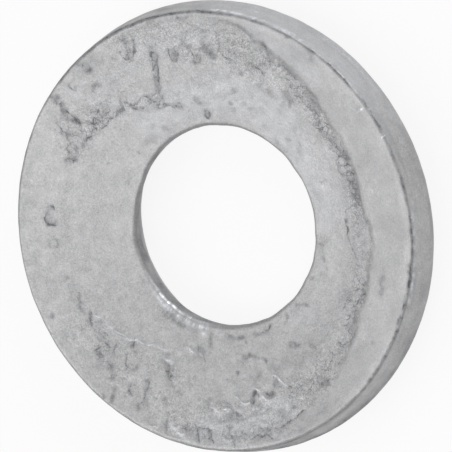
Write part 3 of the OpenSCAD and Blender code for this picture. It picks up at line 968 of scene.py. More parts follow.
# Small marks on the left side of the face
LEFT = (
    skin_edge(0.17, ((288.5, 15.6), (288.9, 16.1), (289.8, 16.5), (291.2, 16.4)), 0.7),
    smudge(0.24, ((288.8, 15.7), (289, 16.2), (290.6, 16.4)), 1.1),
    skin_edge(0.17, ((291.2, 16.4), (292.8, 16.1), (294.1, 16.1), (294.5, 15.7), (293.6, 15.5)), 0.6),
    smudge(0.20, ((288.8, 15.6), (289.6, 15.5)), 0.8),
    smudge(0.26, ((292, 16.2), (293.8, 16.1), (294.2, 15.7)), 1),
    haze(0.45, ((289.6, 16), (292.6, 15.9)), 1),
    smudge(0.16, ((282, 16.3), (281.8, 15.8), (282.3, 15.5), (283.8, 15.5)), 1.1),
    smudge(0.16, ((283.8, 15.5), (284.2, 15.9), (283.9, 16.3), (282.6, 16.3)), 0.8),
    smudge(0.30, ((271.2, 15.6), (271.9, 15.3)), 0.8),
    smudge(0.16, ((275.6, 16), (276.6, 15.9)), 0.5),
    haze(0.45, ((268.8, 17.6), (271, 17.4), (272, 16.8)), 0.8),
    smudge(0.20, ((262.4, 18), (263.2, 17.8)), 1),
    haze(0.40, ((255.8, 17.8), (257.2, 17.6)), 0.8),
    haze(0.60, ((274, 18.2), (277, 17.6), (279, 18.3)), 0.6),
    haze(0.55, ((289, 18.5), (292, 18.5), (296, 17.6)), 0.8),
    haze(0.60, ((301, 14.4), (304, 14.4)), 0.4),
    haze(0.50, ((300, 18.3), (306, 18.3), (313, 18.2)), 0.5),
    haze(0.45, ((272, 13.6), (278, 13.4), (284, 13.6)), 0.4),
    grain(2.6, ((262, 14), (276, 14.4), (290, 15), (304, 15.4)), 0.12),
)

# Areas where the skin broke up into a fine net of creases, and the dull zinc under it
NETS = (
    curls(0.70, ((310.5, 15), (314, 14.9), (318, 15), (321.5, 15)), 1),
    curls(0.60, ((321, 14.2), (325, 14.1), (329, 13.9), (333, 13.7)), 1.6),
    curls(0.60, ((328, 15), (332, 14.7), (336, 14.3)), 1.3),
    curls(0.45, ((334, 13.5), (338, 13.5), (341, 13.2), (344, 12.6), (347, 12.7)), 1.2),
    curls(0.55, ((347, 12.5), (350.5, 12.2), (354, 12.3), (356, 12.9)), 1.4),
    smudge(0.32, ((338.6, 13.5), (341.6, 12.9), (344.6, 12.5), (348, 12.3)), 0.35),
    smudge(0.38, ((348, 12.3), (351, 11.9), (354, 12), (355.4, 12.8)), 0.35),
    smudge(0.40, ((322, 14.2), (326, 13.9), (330, 13.8), (334, 13.5)), 0.25),
    smudge(0.35, ((310.4, 14.9), (314, 14.8), (318, 14.8), (321.4, 14.6)), 0.25),
    curls(0.35, ((351.5, 11.6), (354, 11.5), (357, 11.2), (361, 11.2)), 1.5),
    curls(0.45, ((324.8, 18.6), (324.6, 17.6), (323.6, 16.6), (323.6, 15.6)), 0.6),
    curls(0.40, ((360, 16.8), (359, 15.6), (357.4, 14.4)), 1.3),
    curls(0.45, ((353.6, 17.8), (352.8, 17), (351.6, 16.4)), 0.8),
    curls(0.9, ((0, 17.6), (10, 17.3), (20, 16.6), (28, 16), (35, 15.4)), 0.6),
    curls(0.8, ((12, 15.4), (20, 15.3), (28, 15), (36, 14.5)), 0.5),
    curls(0.6, ((40, 15.6), (50, 14.9), (58, 14.4), (66, 13.9)), 0.6),
    curls(0.8, ((66, 13.9), (74, 13.7), (84, 13.6), (92, 13.6), (98, 13.5)), 0.7),
    curls(0.7, ((98, 13.5), (106, 13), (114, 13.2), (122, 13.5)), 0.35),
    curls(0.8, ((124, 13.8), (132, 13.8), (140, 14.2), (150, 14.8), (158, 15.1)), 0.7),
    curls(1, ((158, 15), (168, 15.4), (176, 16), (182, 16.9)), 0.6),
    curls(0.9, ((182, 17.4), (190, 17.5), (198, 17.5), (206, 17.6), (214, 17.6)), 0.9),
    curls(0.8, ((184, 15.6), (192, 15.8), (200, 16)), 0.7),
    curls(0.45, ((219, 14.6), (222, 13.7), (225, 13.1)), 0.7),
    curls(0.6, ((226, 16.6), (232, 16.6), (240, 16.4), (247, 16.1)), 0.45),
    curls(0.6, ((244, 15), (250, 14.8), (256, 15), (262, 15.2)), 0.55),
)

# Large areas that are cleaner or duller than the rest
AREAS = (
    clean(2.6, ((345, 11), (5, 11.4), (25, 11.4), (45, 11), (65, 10.4), (96, 10.2)), 0.8),
    clean(1.6, ((20, 13.2), (40, 13), (55, 12.4)), 0.45),
    clean(1, ((34, 17.9), (44, 17.4), (56, 16.9)), 0.8),
    haze(2.2, ((248, 14.4), (262, 14.6), (276, 14.8), (292, 14.8)), 0.5),
    grain(1.6, ((2, 11.8), (14, 12.4), (30, 12)), 0.4),
    clean(1.6, ((2, 12), (14, 12.2), (30, 12)), 0.3),
    clean(1.2, ((332, 15.6), (342, 15.6), (350, 15.4)), 0.45),
    clean(1.3, ((354, 16.6), (6, 16.6), (20, 16.6)), 0.45),
    haze(1.5, ((84, 13), (98, 13), (112, 13), (124, 13)), 0.5),
    haze(1.6, ((134, 13), (144, 12.8), (156, 12.6), (168, 12.8)), 0.75),
    haze(1.4, ((172, 13), (184, 13), (196, 13.2)), 0.3),
    haze(1.8, ((170, 16.4), (185, 16.6), (200, 16.6)), 0.25),
    curls(0.8, ((314, 15.8), (318, 15.6), (321, 15)), 0.7),
    haze(2.6, ((264, 12.4), (284, 12.4), (304, 12.6), (316, 12)), 0.42),
    haze(0.9, ((276, 9.9), (296, 9.9), (314, 10)), 0.3),
    grain(1.4, ((66, 11.2), (84, 11), (102, 11.2)), 0.3),
    haze(1.5, ((118, 12.6), (132, 12.8), (146, 13), (160, 13.2)), 0.45),
    clean(1.4, ((178, 16), (186, 16.6), (196, 16.8), (206, 17.2)), 1),
)

STROKES = (
    softened(UPPER_LEFT, 0.92) + TOP + softened(CRUST, 0.52) + INNER + BAND + EDGE + BOTTOM
    + softened(LOWER_LEFT, 0.85) + LEFT + NETS + AREAS)


@dataclass(frozen=True)
class StrokeLayer:
    """Lays every stroke on the front face."""

    # Every stroke wanders and trembles a little, is patchy along its way, and its thin line is frayed
    wander: Uneven = Uneven(seed=3, size=1.1, swing=0.05, octaves=1)
    tremble: Uneven = Uneven(seed=4, size=0.36, swing=0.10, octaves=1)
    patchy: Uneven = Uneven(seed=5, size=0.4, swing=0.6, middle=0.94, limits=(0.4, 1.4))
    frayed: Uneven = Uneven(seed=22, size=0.34, swing=1.3, middle=0.85, limits=(0.1, 1.5))
    # Distance between the noise that moves strokes along x and the noise that moves them along y
    axis_shift: float = 50
    # Share of the weaker one that is added where two strokes meet
    overlap: float = 0.45
    # Distance from a thin line over which its value fades
    thread_fade: Span = (0.20, 0.40)

    def lay(self, places: np.ndarray, front: np.ndarray) -> Fields:
        """Works out what the strokes leave at each point.

        Args:
            places: The ring's points, in millimetres.
            front: How much each point belongs to the front face, from 0 to 1.

        Returns:
            Height in millimetres, the shares of dross with painted shade, of grain, of gleam with painted
            highlight and of curls, and for each layer of thin lines the signed distance to the nearest one
            and its strength.
        """
        drift = [self.wander.at(p) + self.tremble.at(p) for p in (places, places + self.axis_shift)]
        flat = places[:, :2] + np.stack(drift, 1)
        broken = self.patchy.at(places)
        frayed = self.frayed.at(places)
        shares = ("dross", "grain", "gleam", "curls")
        fields = {name: np.zeros(len(places)) for name in ("height", *shares)}
        for layer in range(THREAD_LAYERS):
            fields[f"thread_{layer}"] = np.zeros(len(places))
            fields[f"offset_{layer}"] = np.ones(len(places))
        for number, stroke in enumerate(STROKES):
            corners = stroke.corners()
            reach = VEIL_WIDTH * stroke.width + self.thread_fade[1]
            near = np.flatnonzero((front > 0) & (flat > corners.min(0) - reach).all(1)
                                  & (flat < corners.max(0) + reach).all(1))
            offset = stroke.offset(flat[near])
            strength = stroke.strength * front[near] * broken[near]
            cover = stroke.cover(np.abs(offset)) * strength
            form = FORMS[stroke.mark]
            fields["height"][near] += form.height * cover
            for name in shares:
                share = getattr(form, name) * cover
                held = fields[name][near]
                fields[name][near] = np.maximum(held, share) + self.overlap * np.minimum(held, share)
            if form.thread:
                layer = number % THREAD_LAYERS
                closer = np.abs(offset) < np.abs(fields[f"offset_{layer}"][near])
                faded = strength * frayed[near] * (1.0 - smooth_step(*self.thread_fade, np.abs(offset)))
                fields[f"offset_{layer}"][near[closer]] = offset[closer]
                fields[f"thread_{layer}"][near[closer]] = form.thread * faded[closer]
        return fields


@dataclass(frozen=True)
class ThickBand:
    """The thick smooth band along one side of the face, and the crust just inside its foot."""

    height: float = 0.07
    # Where the band starts: bearing and radius. Elsewhere it starts beyond the rim
    foot: Table = (
        (14, 18.9), (20, 18.5), (25, 18.1), (30, 17.8), (35, 17.1), (40, 16.5), (45, 16.2), (50, 15.9),
        (55, 15.55), (60, 15.2), (65, 14.85), (70, 14.6), (80, 14.55), (85, 14.4), (94, 14.1), (101, 14.1),
        (107, 14.45), (112, 14.6), (120, 14.5), (127, 14.7), (135, 14.75), (140, 15.05), (145, 15.3),
        (150, 15.55), (155, 15.9), (160, 16.2), (166, 16.3), (170, 16.9), (175, 17.3), (180, 17.6),
        (187, 18.9))
    beyond_r: float = 30.0
    wander: Uneven = Uneven(seed=6, size=1.3, swing=0.12, octaves=1)
    tremble: Uneven = Uneven(seed=7, size=0.45, swing=0.10, octaves=1)
    # How far outside its foot the band starts to rise and stands full
    rise: Span = (-0.15, 0.45)
    # Radii over which it sinks towards the rim, bearings over which it runs out, and how much each one takes
    sink_r: Span = (18.0, 18.9)
    sink: float = 0.7
    end_bearing: Span = (148, 164)
    end_sink: float = 0.75
    # Stains on the band, and how dark they are
    stains: Uneven = Uneven(seed=21, swing=0.9, middle=0.5, octaves=3, limits=(0, 1.4), streak=(2.2, 0.9))
    stain_dross: float = 0.07
    # How much crust lies inside the foot: bearing and share
    crust: Table = (
        (22, 0.0), (36, 0.6), (45, 0.9), (62, 1.0), (100, 0.9), (110, 0.45), (120, 0.5), (130, 0.9),
        (145, 0.7), (165, 0.45), (185, 0.0))
    # How far inside the foot the crust sets in and thins out
    crust_start: Span = (-0.25, 0.1)
    crust_end: Span = (0.3, 2.0)
    patches: Uneven = Uneven(seed=14, size=0.9, swing=0.8, middle=0.8, limits=(0.1, 1.6))
    streaks: Uneven = Uneven(seed=15, streak=(1.3, 0.32))
    streak_span: Span = (0.05, 0.55)
    streak_depth: float = 0.02
    streak_dross: float = 0.06
    crust_dross: float = 0.16
    crust_grain: float = 0.5
    crust_curls: float = 0.75

    def lay(self, places: np.ndarray, front: np.ndarray, fields: Fields) -> None:
        """Raises the band between its foot and the rim, and roughens the crust inside it."""
        bearing = bearing_of(places)
        radius = radius_of(places)
        bearings, radii = np.array(self.foot).T
        foot = np.interp(bearing, bearings, radii, left=self.beyond_r, right=self.beyond_r)
        foot += self.wander.at(places) + self.tremble.at(places)
        band = smooth_step(*self.rise, radius - foot) * front
        level = (1.0 - self.sink * smooth_step(*self.sink_r, radius)) * (
            1.0 - self.end_sink * smooth_step(*self.end_bearing, bearing))
        fields["height"] += self.height * band * level
        fields["band"] = band
        inside = foot - radius
        crust = looked_up(self.crust, bearing) * front * smooth_step(*self.crust_start, inside) * (
            1.0 - smooth_step(*self.crust_end, inside))
        streaks = smooth_step(*self.streak_span, self.streaks.at(places))
        fields["dross"] += crust * self.patches.at(places) * (self.crust_dross + self.streak_dross * streaks)
        fields["height"] -= self.streak_depth * crust * streaks
        fields["grain"] += self.crust_grain * crust
        fields["curls"] += self.crust_curls * crust
        fields["dross"] += self.stain_dross * band * self.stains.at(places)


@dataclass(frozen=True)
class Rim:
    """The washer's side and its front edge, with painted shade, sheen and glints, and a seam of painted
    shade.
    """

    # How far round the front edge the side reaches: radii next to that edge, and how steep it has to face
    side_r: Span = (-0.1, 0.25)
    side_facing: Span = (0.5, 0.8)
    # How much painted shade darkens the side: bearing and share
    side_shade: Table = (
        (-60, 0.40), (-10, 0.28), (20, 0.10), (60, 0.02), (85, 0.06), (120, 0.06), (150, 0.0), (170, 0.10),
        (185, 0.45), (215, 0.40))
    streaks: Uneven = Uneven(seed=16, octaves=3, streak=(5.0, 0.5))
    blots: Uneven = Uneven(seed=17, size=1.4, octaves=3)
    blot_share: float = 0.5
    streak_dross: float = 0.14
    blot_dross: float = 0.07
    # How much painted shade darkens the side's lower part: bearing and share. It ends between two heights
    skirt_shade: Table = (
        (60, 0.0), (100, 0.05), (120, 0.12), (150, 0.42), (176, 0.85), (192, 0.30), (215, 0.0))
    skirt_z: Span = (2.0, 5.0)
    skirt_limits: Span = (0.3, 1.5)
    # Bearings where a painted sheen brightens the side, and how bright
    sheen_rise: Span = (5, 35)
    sheen_fall: Span = (62, 88)
    sheen_gleam: float = 0.24
    sheen_streaks: float = 0.2
    # How bright the painted glints under the front edge are: bearing and share
    glint: Table = (
        (20, 0.0), (23, 1.0), (28.5, 1.0), (30, 0.45), (37, 0.45), (38, 0.1), (40, 0.45), (42, 0.45),
        (43.5, 0.9), (47, 0.9), (49, 0.1), (60, 0.0), (100, 0.0), (104, 0.45), (124, 0.45), (132, 0.0))
    glint_beads: Uneven = Uneven(seed=24, size=0.36, swing=1.2, middle=0.45, limits=(0, 1.2))
    glint_out: float = 0.15
    glint_down: float = 0.05
    glint_fade: Span = (0.10, 0.30)
    # How dark the painted shade of the seam along the front edge is: bearing and share
    seam: Table = (
        (-75, 0.0), (-50, 0.40), (-20, 0.40), (20, 0.55), (28, 0.36), (50, 0.54), (62, 0.52), (72, 0.40),
        (98, 0.40), (108, 0.28), (128, 0.20), (142, 0.08), (160, 0.03), (180, 0.0))
    # Where the seam runs, from the centre of the edge's rounding, and how it wanders, breaks and fades
    seam_out: float = 0.14
    seam_up: float = 0.24
    seam_wander: Uneven = Uneven(seed=8, size=1.6, swing=0.08, octaves=1)
    seam_tremble: Uneven = Uneven(seed=9, size=0.45, swing=0.07, octaves=1)
    seam_breaks: Uneven = Uneven(seed=10, size=0.9, swing=1.1, middle=0.75, octaves=3, limits=(0, 1.5))
    seam_fade: Span = (0.03, 0.23)
    seam_depth: float = 0.025
    # Share of the seam that a glint outshines
    outshone: float = 0.8

    def lay(self, places: np.ndarray, facing: np.ndarray, edge: Span, fields: Fields) -> None:
        """Paints shade and a sheen on the side and streaks it, and paints the seam's shade and the glints on
        its front edge.

        Args:
            places: The ring's points, in millimetres.
            facing: How far up each point's surface faces, from -1 to 1.
            edge: Radius and height of the centre of the front edge's rounding.
            fields: What the coat knows so far, which this adds to.
        """
        bearing = bearing_of(places, start=-90.0)
        radius = radius_of(places)
        edge_r, edge_z = edge
        side = smooth_step(edge_r + self.side_r[0], edge_r + self.side_r[1], radius) * (
            1 - smooth_step(*self.side_facing, facing))
        streaks = self.streaks.at(places)
        blots = self.blots.at(places)
        # Painted shade on the side, by bearing and blotted, with darker streaks and blots of the zinc itself
        dull = looked_up(self.side_shade, bearing) * (1.0 + self.blot_share * blots)
        fields["dross"] += side * np.clip(dull + self.streak_dross * streaks + self.blot_dross * blots, 0, 1)
        # Painted shade on the side's lower part
        skirt_shade = (1 - smooth_step(*self.skirt_z, places[:, 2])) * looked_up(self.skirt_shade, bearing)
        fields["dross"] += side * skirt_shade * np.clip(1.0 + self.blot_share * blots, *self.skirt_limits)
        # A painted sheen on the side
        sheen = plateau(self.sheen_rise, self.sheen_fall, bearing)
        fields["gleam"] += side * sheen * np.clip(self.sheen_gleam + self.sheen_streaks * streaks, 0, 1)
        # Painted glints just under the front edge
        below = np.abs(edge_z - self.glint_down - places[:, 2])
        glint = (radius > edge_r + self.glint_out) * (1 - smooth_step(*self.glint_fade, below))
        glint *= looked_up(self.glint, bearing)
        fields["gleam"] += glint * self.glint_beads.at(places)
        wobble = self.seam_wander.at(places) + self.seam_tremble.at(places)
        away = np.hypot(radius - edge_r - self.seam_out + wobble, places[:, 2] - edge_z - self.seam_up)
        seam = 1.0 - smooth_step(*self.seam_fade, away)
        broken = self.seam_breaks.at(places)
        # Painted shade along the seam, which a glint outshines
        dark = seam * broken * (1 - self.outshone * glint) * looked_up(self.seam, bearing)
        fields["dross"] = np.maximum(fields["dross"], dark)
        fields["height"] -= self.seam_depth * seam * broken


@dataclass(frozen=True)
class BoreEdge:
    """The bore's front edge: zinc hanging over the wall, a painted highlight on the roll, painted shade on
    the wall.
    """

    # How far the zinc hangs over the wall: bearing and millimetres, and its lumps
    sag: Table = (
        (0, 0.0), (150, 0.0), (165, 0.07), (185, 0.12), (200, 0.10), (215, 0.02), (225, 0.0), (262, 0.0),
        (282, 0.02), (296, 0.22), (312, 0.26), (330, 0.18), (345, 0.06), (360, 0.0))
    lumps: Uneven = Uneven(seed=18, size=1.3, swing=0.05)
    # Radii outside the bore over which this ends, and the height above the land over which it sets in
    near_r: Span = (0.25, 0.9)
    above_z: float = 0.7
    blots: Uneven = Uneven(seed=19, size=1.0)
    # Painted shade on the bore's wall, and its blots
    wall_facing: Span = (0.25, 0.6)
    wall_shade: float = 0.34
    wall_blots: float = 0.25
    # Where the roll is: how far up it faces, and the radii outside the bore over which it ends
    roll_facing: Span = (0.30, 0.45)
    roll_r: Span = (0.35, 0.80)
    # Bearings where a painted highlight brightens the roll, and the streaks across it, with how finely they
    # vary that way
    highlight_rise: Span = (202, 214)
    highlight_fall: Span = (242, 254)
    highlight_streaks: Uneven = Uneven(seed=23, size=0.26, swing=0.8, middle=0.46)
    highlight_blots: float = 0.3
    highlight_most: float = 0.9
    highlight_draw: float = 0.3

    def lay(self, places: np.ndarray, facing: np.ndarray, section: Section, fields: Fields) -> None:
        """Moves the points of the edge inwards, paints shade on the wall and a highlight on the roll.

        Args:
            places: The ring's points, in millimetres, which this changes.
            facing: How far up each point's surface faces, from -1 to 1.
            section: The ring's section.
            fields: What the coat knows so far, which this adds to.
        """
        bearing = bearing_of(places)
        radius = radius_of(places)
        bore_r, land_z = section.land_end
        near = 1 - smooth_step(bore_r + self.near_r[0], bore_r + self.near_r[1], radius)
        above = smooth_step(land_z, land_z + self.above_z, places[:, 2])
        sag = looked_up(self.sag, bearing) * near * above
        lumps = self.lumps.at(places) * near * above
        places[:, :2] *= (1 - (sag + lumps) / radius)[:, None]
        # Painted shade on the wall
        wall = near * (1 - smooth_step(*self.wall_facing, facing))
        blots = self.blots.at(places)
        fields["dross"] += wall * np.clip(self.wall_shade + self.wall_blots * blots, 0, 1)
        # A painted highlight on the roll, broken into streaks
        roll = smooth_step(*self.roll_facing, facing) * (
            1 - smooth_step(bore_r + self.roll_r[0], bore_r + self.roll_r[1], radius))
        highlight_arc = plateau(self.highlight_rise, self.highlight_fall, bearing)
        spokes = np.stack([np.radians(bearing) * bore_r, self.highlight_draw * radius, 0 * radius], 1)
        streaked_highlight = np.clip(self.highlight_streaks.at(spokes) + self.highlight_blots * blots, 0, self.highlight_most)
        fields["gleam"] = np.maximum(fields["gleam"], roll * highlight_arc * streaked_highlight)


@dataclass(frozen=True)
class Waves:
    """The uneven run of the coat: slow waves everywhere, ripples, creases and grain where it is rough."""

    # How much of the ripples the thick band smooths out
    smoothed: float = 0.8
    # Broken skin is grooved where the noise of the creases is near 0
    creases: Uneven = Uneven(seed=20, size=0.42)
    groove_span: Span = (0.0, 0.35)
    groove_depth: float = 0.03
    slow: Uneven = Uneven(seed=11, size=3.5, swing=0.025)
    ripples: Uneven = Uneven(seed=12, size=0.8)
    ripple_height: float = 0.012
    crystals: Uneven = Uneven(seed=13, size=0.42)
    crystal_height: float = 0.022

    def lay(self, places: np.ndarray, fields: Fields) -> None:
        """Adds the waves, ripples, grooves and crystals to the height."""
        rough = np.clip(1.0 - self.smoothed * fields["band"], 0, 1)
        fields["crease"] = self.creases.at(places)
        groove = 1.0 - smooth_step(*self.groove_span, np.abs(fields["crease"]))
        fields["height"] -= self.groove_depth * groove * np.clip(fields["curls"], 0, 1)
        fields["height"] += self.slow.at(places)
        fields["height"] += self.ripple_height * rough * self.ripples.at(places)
        fields["height"] += self.crystal_height * np.clip(fields["grain"], 0, 1) * self.crystals.at(places)


@dataclass
class ZincCoat:
    """The coat's relief and marks, worked out for each point of the ring.

    Attributes:
        section: The ring's section.
        top: Height that the coat must not pass, in millimetres.
        room: How far the coat starts below the solid's surface, in millimetres.
        bore_offset: How far the bore stands off the rim's centre, towards the top of the picture, where
            the punch pierced it.
        front_facing: How far up the surface of the front face looks, at its edge and past it.
    """

    section: Section
    top: float
    room: float = 0.01
    bore_offset: float = 0.12
    front_facing: Span = (0.15, 0.6)

    def sculpt(self, mesh: bpy.types.Mesh) -> None:
        """Moves the mesh's points by the relief, and stores what the coat knows as their attributes.

        Args:
            mesh: The spun ring, in metres.
        """
        places = self._read(mesh.vertices, "co") / MM
        normals = self._read(mesh.vertex_normals, "vector")
        facing = normals[:, 2]
        front = smooth_step(*self.front_facing, facing)
        outside_r = self.section.outside_r
        wall_r = self.section.bore_r
        places[:, 0] += self.bore_offset * (outside_r - radius_of(places)) / (outside_r - wall_r)
        fields = StrokeLayer().lay(places, front)
        ThickBand().lay(places, front, fields)
        Rim().lay(places, facing, self.section.rim_edge_c, fields)
        BoreEdge().lay(places, facing, self.section, fields)
        Waves().lay(places, fields)
        places += normals * (fields.pop("height") - self.room)[:, None]
        places[:, 2] = np.clip(places[:, 2], 0.0, self.top)
        places[:, :2] *= np.minimum(1.0, outside_r / radius_of(places))[:, None]
        mesh.vertices.foreach_set("co", (places * MM).ravel())
        for name, values in fields.items():
            layer = mesh.attributes.new(name, "FLOAT", "POINT")
            layer.data.foreach_set("value", np.clip(values, -1.0, 1.0))
        mesh.update()

    @staticmethod
    def _read(rows: bpy.types.bpy_prop_collection, name: str) -> np.ndarray:
        """Reads one vector from each row of a mesh's data."""
        values = np.zeros(len(rows) * 3)
        rows.foreach_get(name, values)
        return values.reshape(-1, 3)


@dataclass
class Washer:
    """The washer: a spun ring with its zinc coat sculpted on it.

    Attributes:
        section: The ring's section.
        coat: The coat on it.
        sectors: How many copies of one sector make the ring.
        steps: How many steps one sector has.
        joined_mm: Points that lie closer than this are joined where two sectors meet.
    """

    section: Section
    coat: ZincCoat
    sectors: int = 24
    steps: int = 30
    joined_mm: float = 0.001

    def build(self) -> bpy.types.Object:
        """Spins the section and sculpts the coat.

        Returns:
            The finished object, at the origin, unturned and unscaled.
        """
        mesh = self._spin()
        self.coat.sculpt(mesh)
        piece = bpy.data.objects.new("washer_coat", mesh)
        bpy.context.scene.collection.objects.link(piece)
        return piece

    def _spin(self) -> bpy.types.Mesh:
        """Turns the section through one sector, and repeats the sector right round the axis.

        Returns:
            The closed, smooth ring, with its faces pointing outwards.
        """
        shape = bmesh.new()
        sector = 2 * math.pi / self.sectors
        ring = [shape.verts.new((r * MM, 0.0, z * MM)) for r, z in self.section.outline()]
        edges = [shape.edges.new((a, b)) for a, b in zip(ring, ring[1:] + ring[:1])]
        bmesh.ops.spin(shape, geom=ring + edges, cent=(0, 0, 0), axis=(0, 0, 1), angle=sector,
                       steps=self.steps, use_duplicate=False)
        first = [*shape.verts, *shape.edges, *shape.faces]
        for number in range(1, self.sectors):
            copied = bmesh.ops.duplicate(shape, geom=first)["geom"]
            bmesh.ops.rotate(shape, verts=[g for g in copied if isinstance(g, bmesh.types.BMVert)],
                             cent=(0, 0, 0), matrix=Matrix.Rotation(sector * number, 3, "Z"))
        bmesh.ops.remove_doubles(shape, verts=shape.verts, dist=self.joined_mm * MM)
        bmesh.ops.recalc_face_normals(shape, faces=shape.faces)
        for face in shape.faces:
            face.smooth = True
        mesh = bpy.data.meshes.new("washer_coat")
        shape.to_mesh(mesh)
        shape.free()
        return mesh


@dataclass(frozen=True)
class GalvanisedSteel:
    """Hot-dip galvanised steel, drained and left to dull: clouded grey zinc and dark dross, with painted
    shade and painted highlights on beads, lips and edges, in the dross and clean zinc colours.

    Four noises make its tone uneven: clouds, mottle, crumbs and specks, from coarse to fine. The real
    crystals are finer than the specks, which are drawn coarse enough to be seen in the picture.

    Attributes:
        zinc: Colour of the dull coat.
        clean: Colour of freshly frozen zinc, and of the painted highlights on beads, lips, the rim's glints
            and
        sheen and the bore's roll.
        dross: Colour of the dark dross and oxide in creases and stains, and of the painted shade on
        the seam, the side and the bore's wall.
        cloud_mm, mottle_mm, crumb_mm, speck_mm: Width of the patches of each noise.
        cloud, mottle, crumb, speck: How much each noise changes the tone.
        calm: How much of the finer noises the thick smooth band loses.
        coarse: How much coarse grain adds to them.
        crease_width, crease_dark: Where the noise of the creases ends its dark net, and how dark that is.
        thread_mm: Half the width of the thin lines in the marks.
        crumbs_in_darkening, mottle_in_darkening: How unevenly the noises spread the dross and the painted
            shade.
        crumbs_in_gleam: How unevenly the crumbs spread the clean zinc and the painted highlights.
        darkest: Most dross and painted shade that any place shows.
        metallic, roughness: How the dull coat reflects.
        darkening_roughness, clean_gloss: How much rougher dross and painted shade are, and how much smoother
        clean zinc and painted highlights.
        relief_mm, crumb_relief: Depth of the fine relief, and the crumbs' share next to the mottle's.
    """

    zinc: str = "BABABB"
    clean: str = "E1E4E9"
    dross: str = "6A6B6F"
    cloud_mm: float = 3.6
    mottle_mm: float = 0.9
    crumb_mm: float = 0.24
    speck_mm: float = 0.11
    cloud: float = 0.20
    mottle: float = 0.36
    crumb: float = 0.34
    speck: float = 0.38
    calm: float = 0.2
    coarse: float = 1.6
    crease_width: float = 0.17
    crease_dark: float = 0.42
    thread_mm: float = 0.09
    crumbs_in_darkening: float = 1.9
    mottle_in_darkening: float = 1.2
    crumbs_in_gleam: float = 2.4
    darkest: float = 0.85
    metallic: float = 0.85
    roughness: float = 0.52
    darkening_roughness: float = 0.2
    clean_gloss: float = 0.15
    relief_mm: float = 0.03
    crumb_relief: float = 0.4

    def material(self) -> bpy.types.Material:
        """Makes the material.

        Returns:
            A material whose tone, gloss and fine relief come from the coat's attributes and from noise in
            object space.
        """
        mat, tree = empty_material("hot_dip_galvanised_steel")
        space = Wire(tree, add_node(tree, "ShaderNodeTexCoord").outputs["Object"])
        clouds = self._noise(space, self.cloud_mm, detail=2.0)
        mottle = self._noise(space, self.mottle_mm, detail=3.0)
        crumbs = self._noise(space, self.crumb_mm, detail=1.0)
        specks = self._noise(space, self.speck_mm, detail=0.0)
        calm = 1.0 - self._attribute(tree, "band") * self.calm
        fine = mottle * self.mottle + (crumbs * self.crumb + specks * self.speck)
        tone = 1.0 + (fine * (calm + self._attribute(tree, "grain") * self.coarse) + clouds * self.cloud)
        dull = self._mixed(tree, 1.0, linear_colour(self.zinc), tone, "MULTIPLY")
        threads = self._threads(tree)
        net = abs(self._attribute(tree, "crease")).fading(self.crease_width, full=self.crease_dark)
        # Dross and painted shade, the net of creases and the dark thin lines darken the coat
        marks = self._attribute(tree, "dross") + net * self._attribute(tree, "curls") + threads.at_least(0.0)
        uneven = 1.0 + (crumbs * self.crumbs_in_darkening + mottle * self.mottle_in_darkening)
        dark = (marks * uneven).clamped(self.darkest)
        stained_and_shaded = self._mixed(tree, dark, dull, linear_colour(self.dross))
        # The bright thin lines along lips are painted highlights; the gleam holds clean zinc and the other
        # painted highlights
        lips = threads.at_most(0.0) * -1.0
        bright = ((self._attribute(tree, "gleam") + lips) * (1.0 - crumbs * self.crumbs_in_gleam)).clamped()
        lit = self._mixed(tree, bright, stained_and_shaded, linear_colour(self.clean))
        gloss = (dark * self.darkening_roughness + self.roughness) - bright * self.clean_gloss
        relief = mottle + crumbs * self.crumb_relief
        bump = add_node(tree, "ShaderNodeBump", {
            "Strength": calm, "Distance": self.relief_mm * MM, "Height": relief})
        shader = add_node(tree, "ShaderNodeBsdfPrincipled", {
            "Base Color": lit, "Metallic": self.metallic, "Roughness": gloss,
            "Normal": Wire(tree, bump.outputs[0])})
        add_node(tree, "ShaderNodeOutputMaterial", {"Surface": Wire(tree, shader.outputs[0])})
        return mat

    def _threads(self, tree: bpy.types.NodeTree) -> Wire:
        """Draws the thin lines of all layers: above 0 where they are dark, below 0 where they are bright."""
        total = 0.0
        for layer in range(THREAD_LAYERS):
            line = abs(self._attribute(tree, f"offset_{layer}")).fading(self.thread_mm)
            total = total + line * self._attribute(tree, f"thread_{layer}")
        return total

    @staticmethod
    def _attribute(tree: bpy.types.NodeTree, name: str) -> Wire:
        """One of the coat's own values, as the sculpting left it."""
        return Wire(tree, add_node(tree, "ShaderNodeAttribute", attribute_name=name).outputs["Fac"])

    @staticmethod
    def _noise(space: Wire, width_mm: float, detail: float) -> Wire:
        """Noise round 0 in object space, whose patches are about width_mm across."""
        noise = add_node(space.tree, "ShaderNodeTexNoise", {
            "Vector": space, "Scale": 1.0 / (width_mm * MM), "Detail": detail, "Roughness": 0.75})
        return Wire(space.tree, noise.outputs[0]) - 0.5

    @staticmethod
    def _mixed(tree: bpy.types.NodeTree, share: Wire | float, first: Wire | tuple, second: Wire | tuple,
               blend: str = "MIX") -> Wire:
        """Blends the second colour into the first by a share."""
        node = add_node(tree, "ShaderNodeMix", {"Factor": share, MIX_A: first, MIX_B: second},
                        data_type="RGBA", blend_type=blend)
        return Wire(tree, node.outputs[MIX_RESULT])


def empty_material(name: str) -> tuple[bpy.types.Material, bpy.types.NodeTree]:
    """Makes a material with no nodes in it yet, and gives its node tree too."""
    mat = bpy.data.materials.new(name)
    mat.use_nodes = True
    mat.node_tree.nodes.clear()
    return mat, mat.node_tree


@dataclass(frozen=True)
class Lamp:
    """One soft box: where it stands and how large it is, in metres, and how much light it gives in watts."""

    name: str
    place: tuple[float, float, float]
    size: float
    power: float


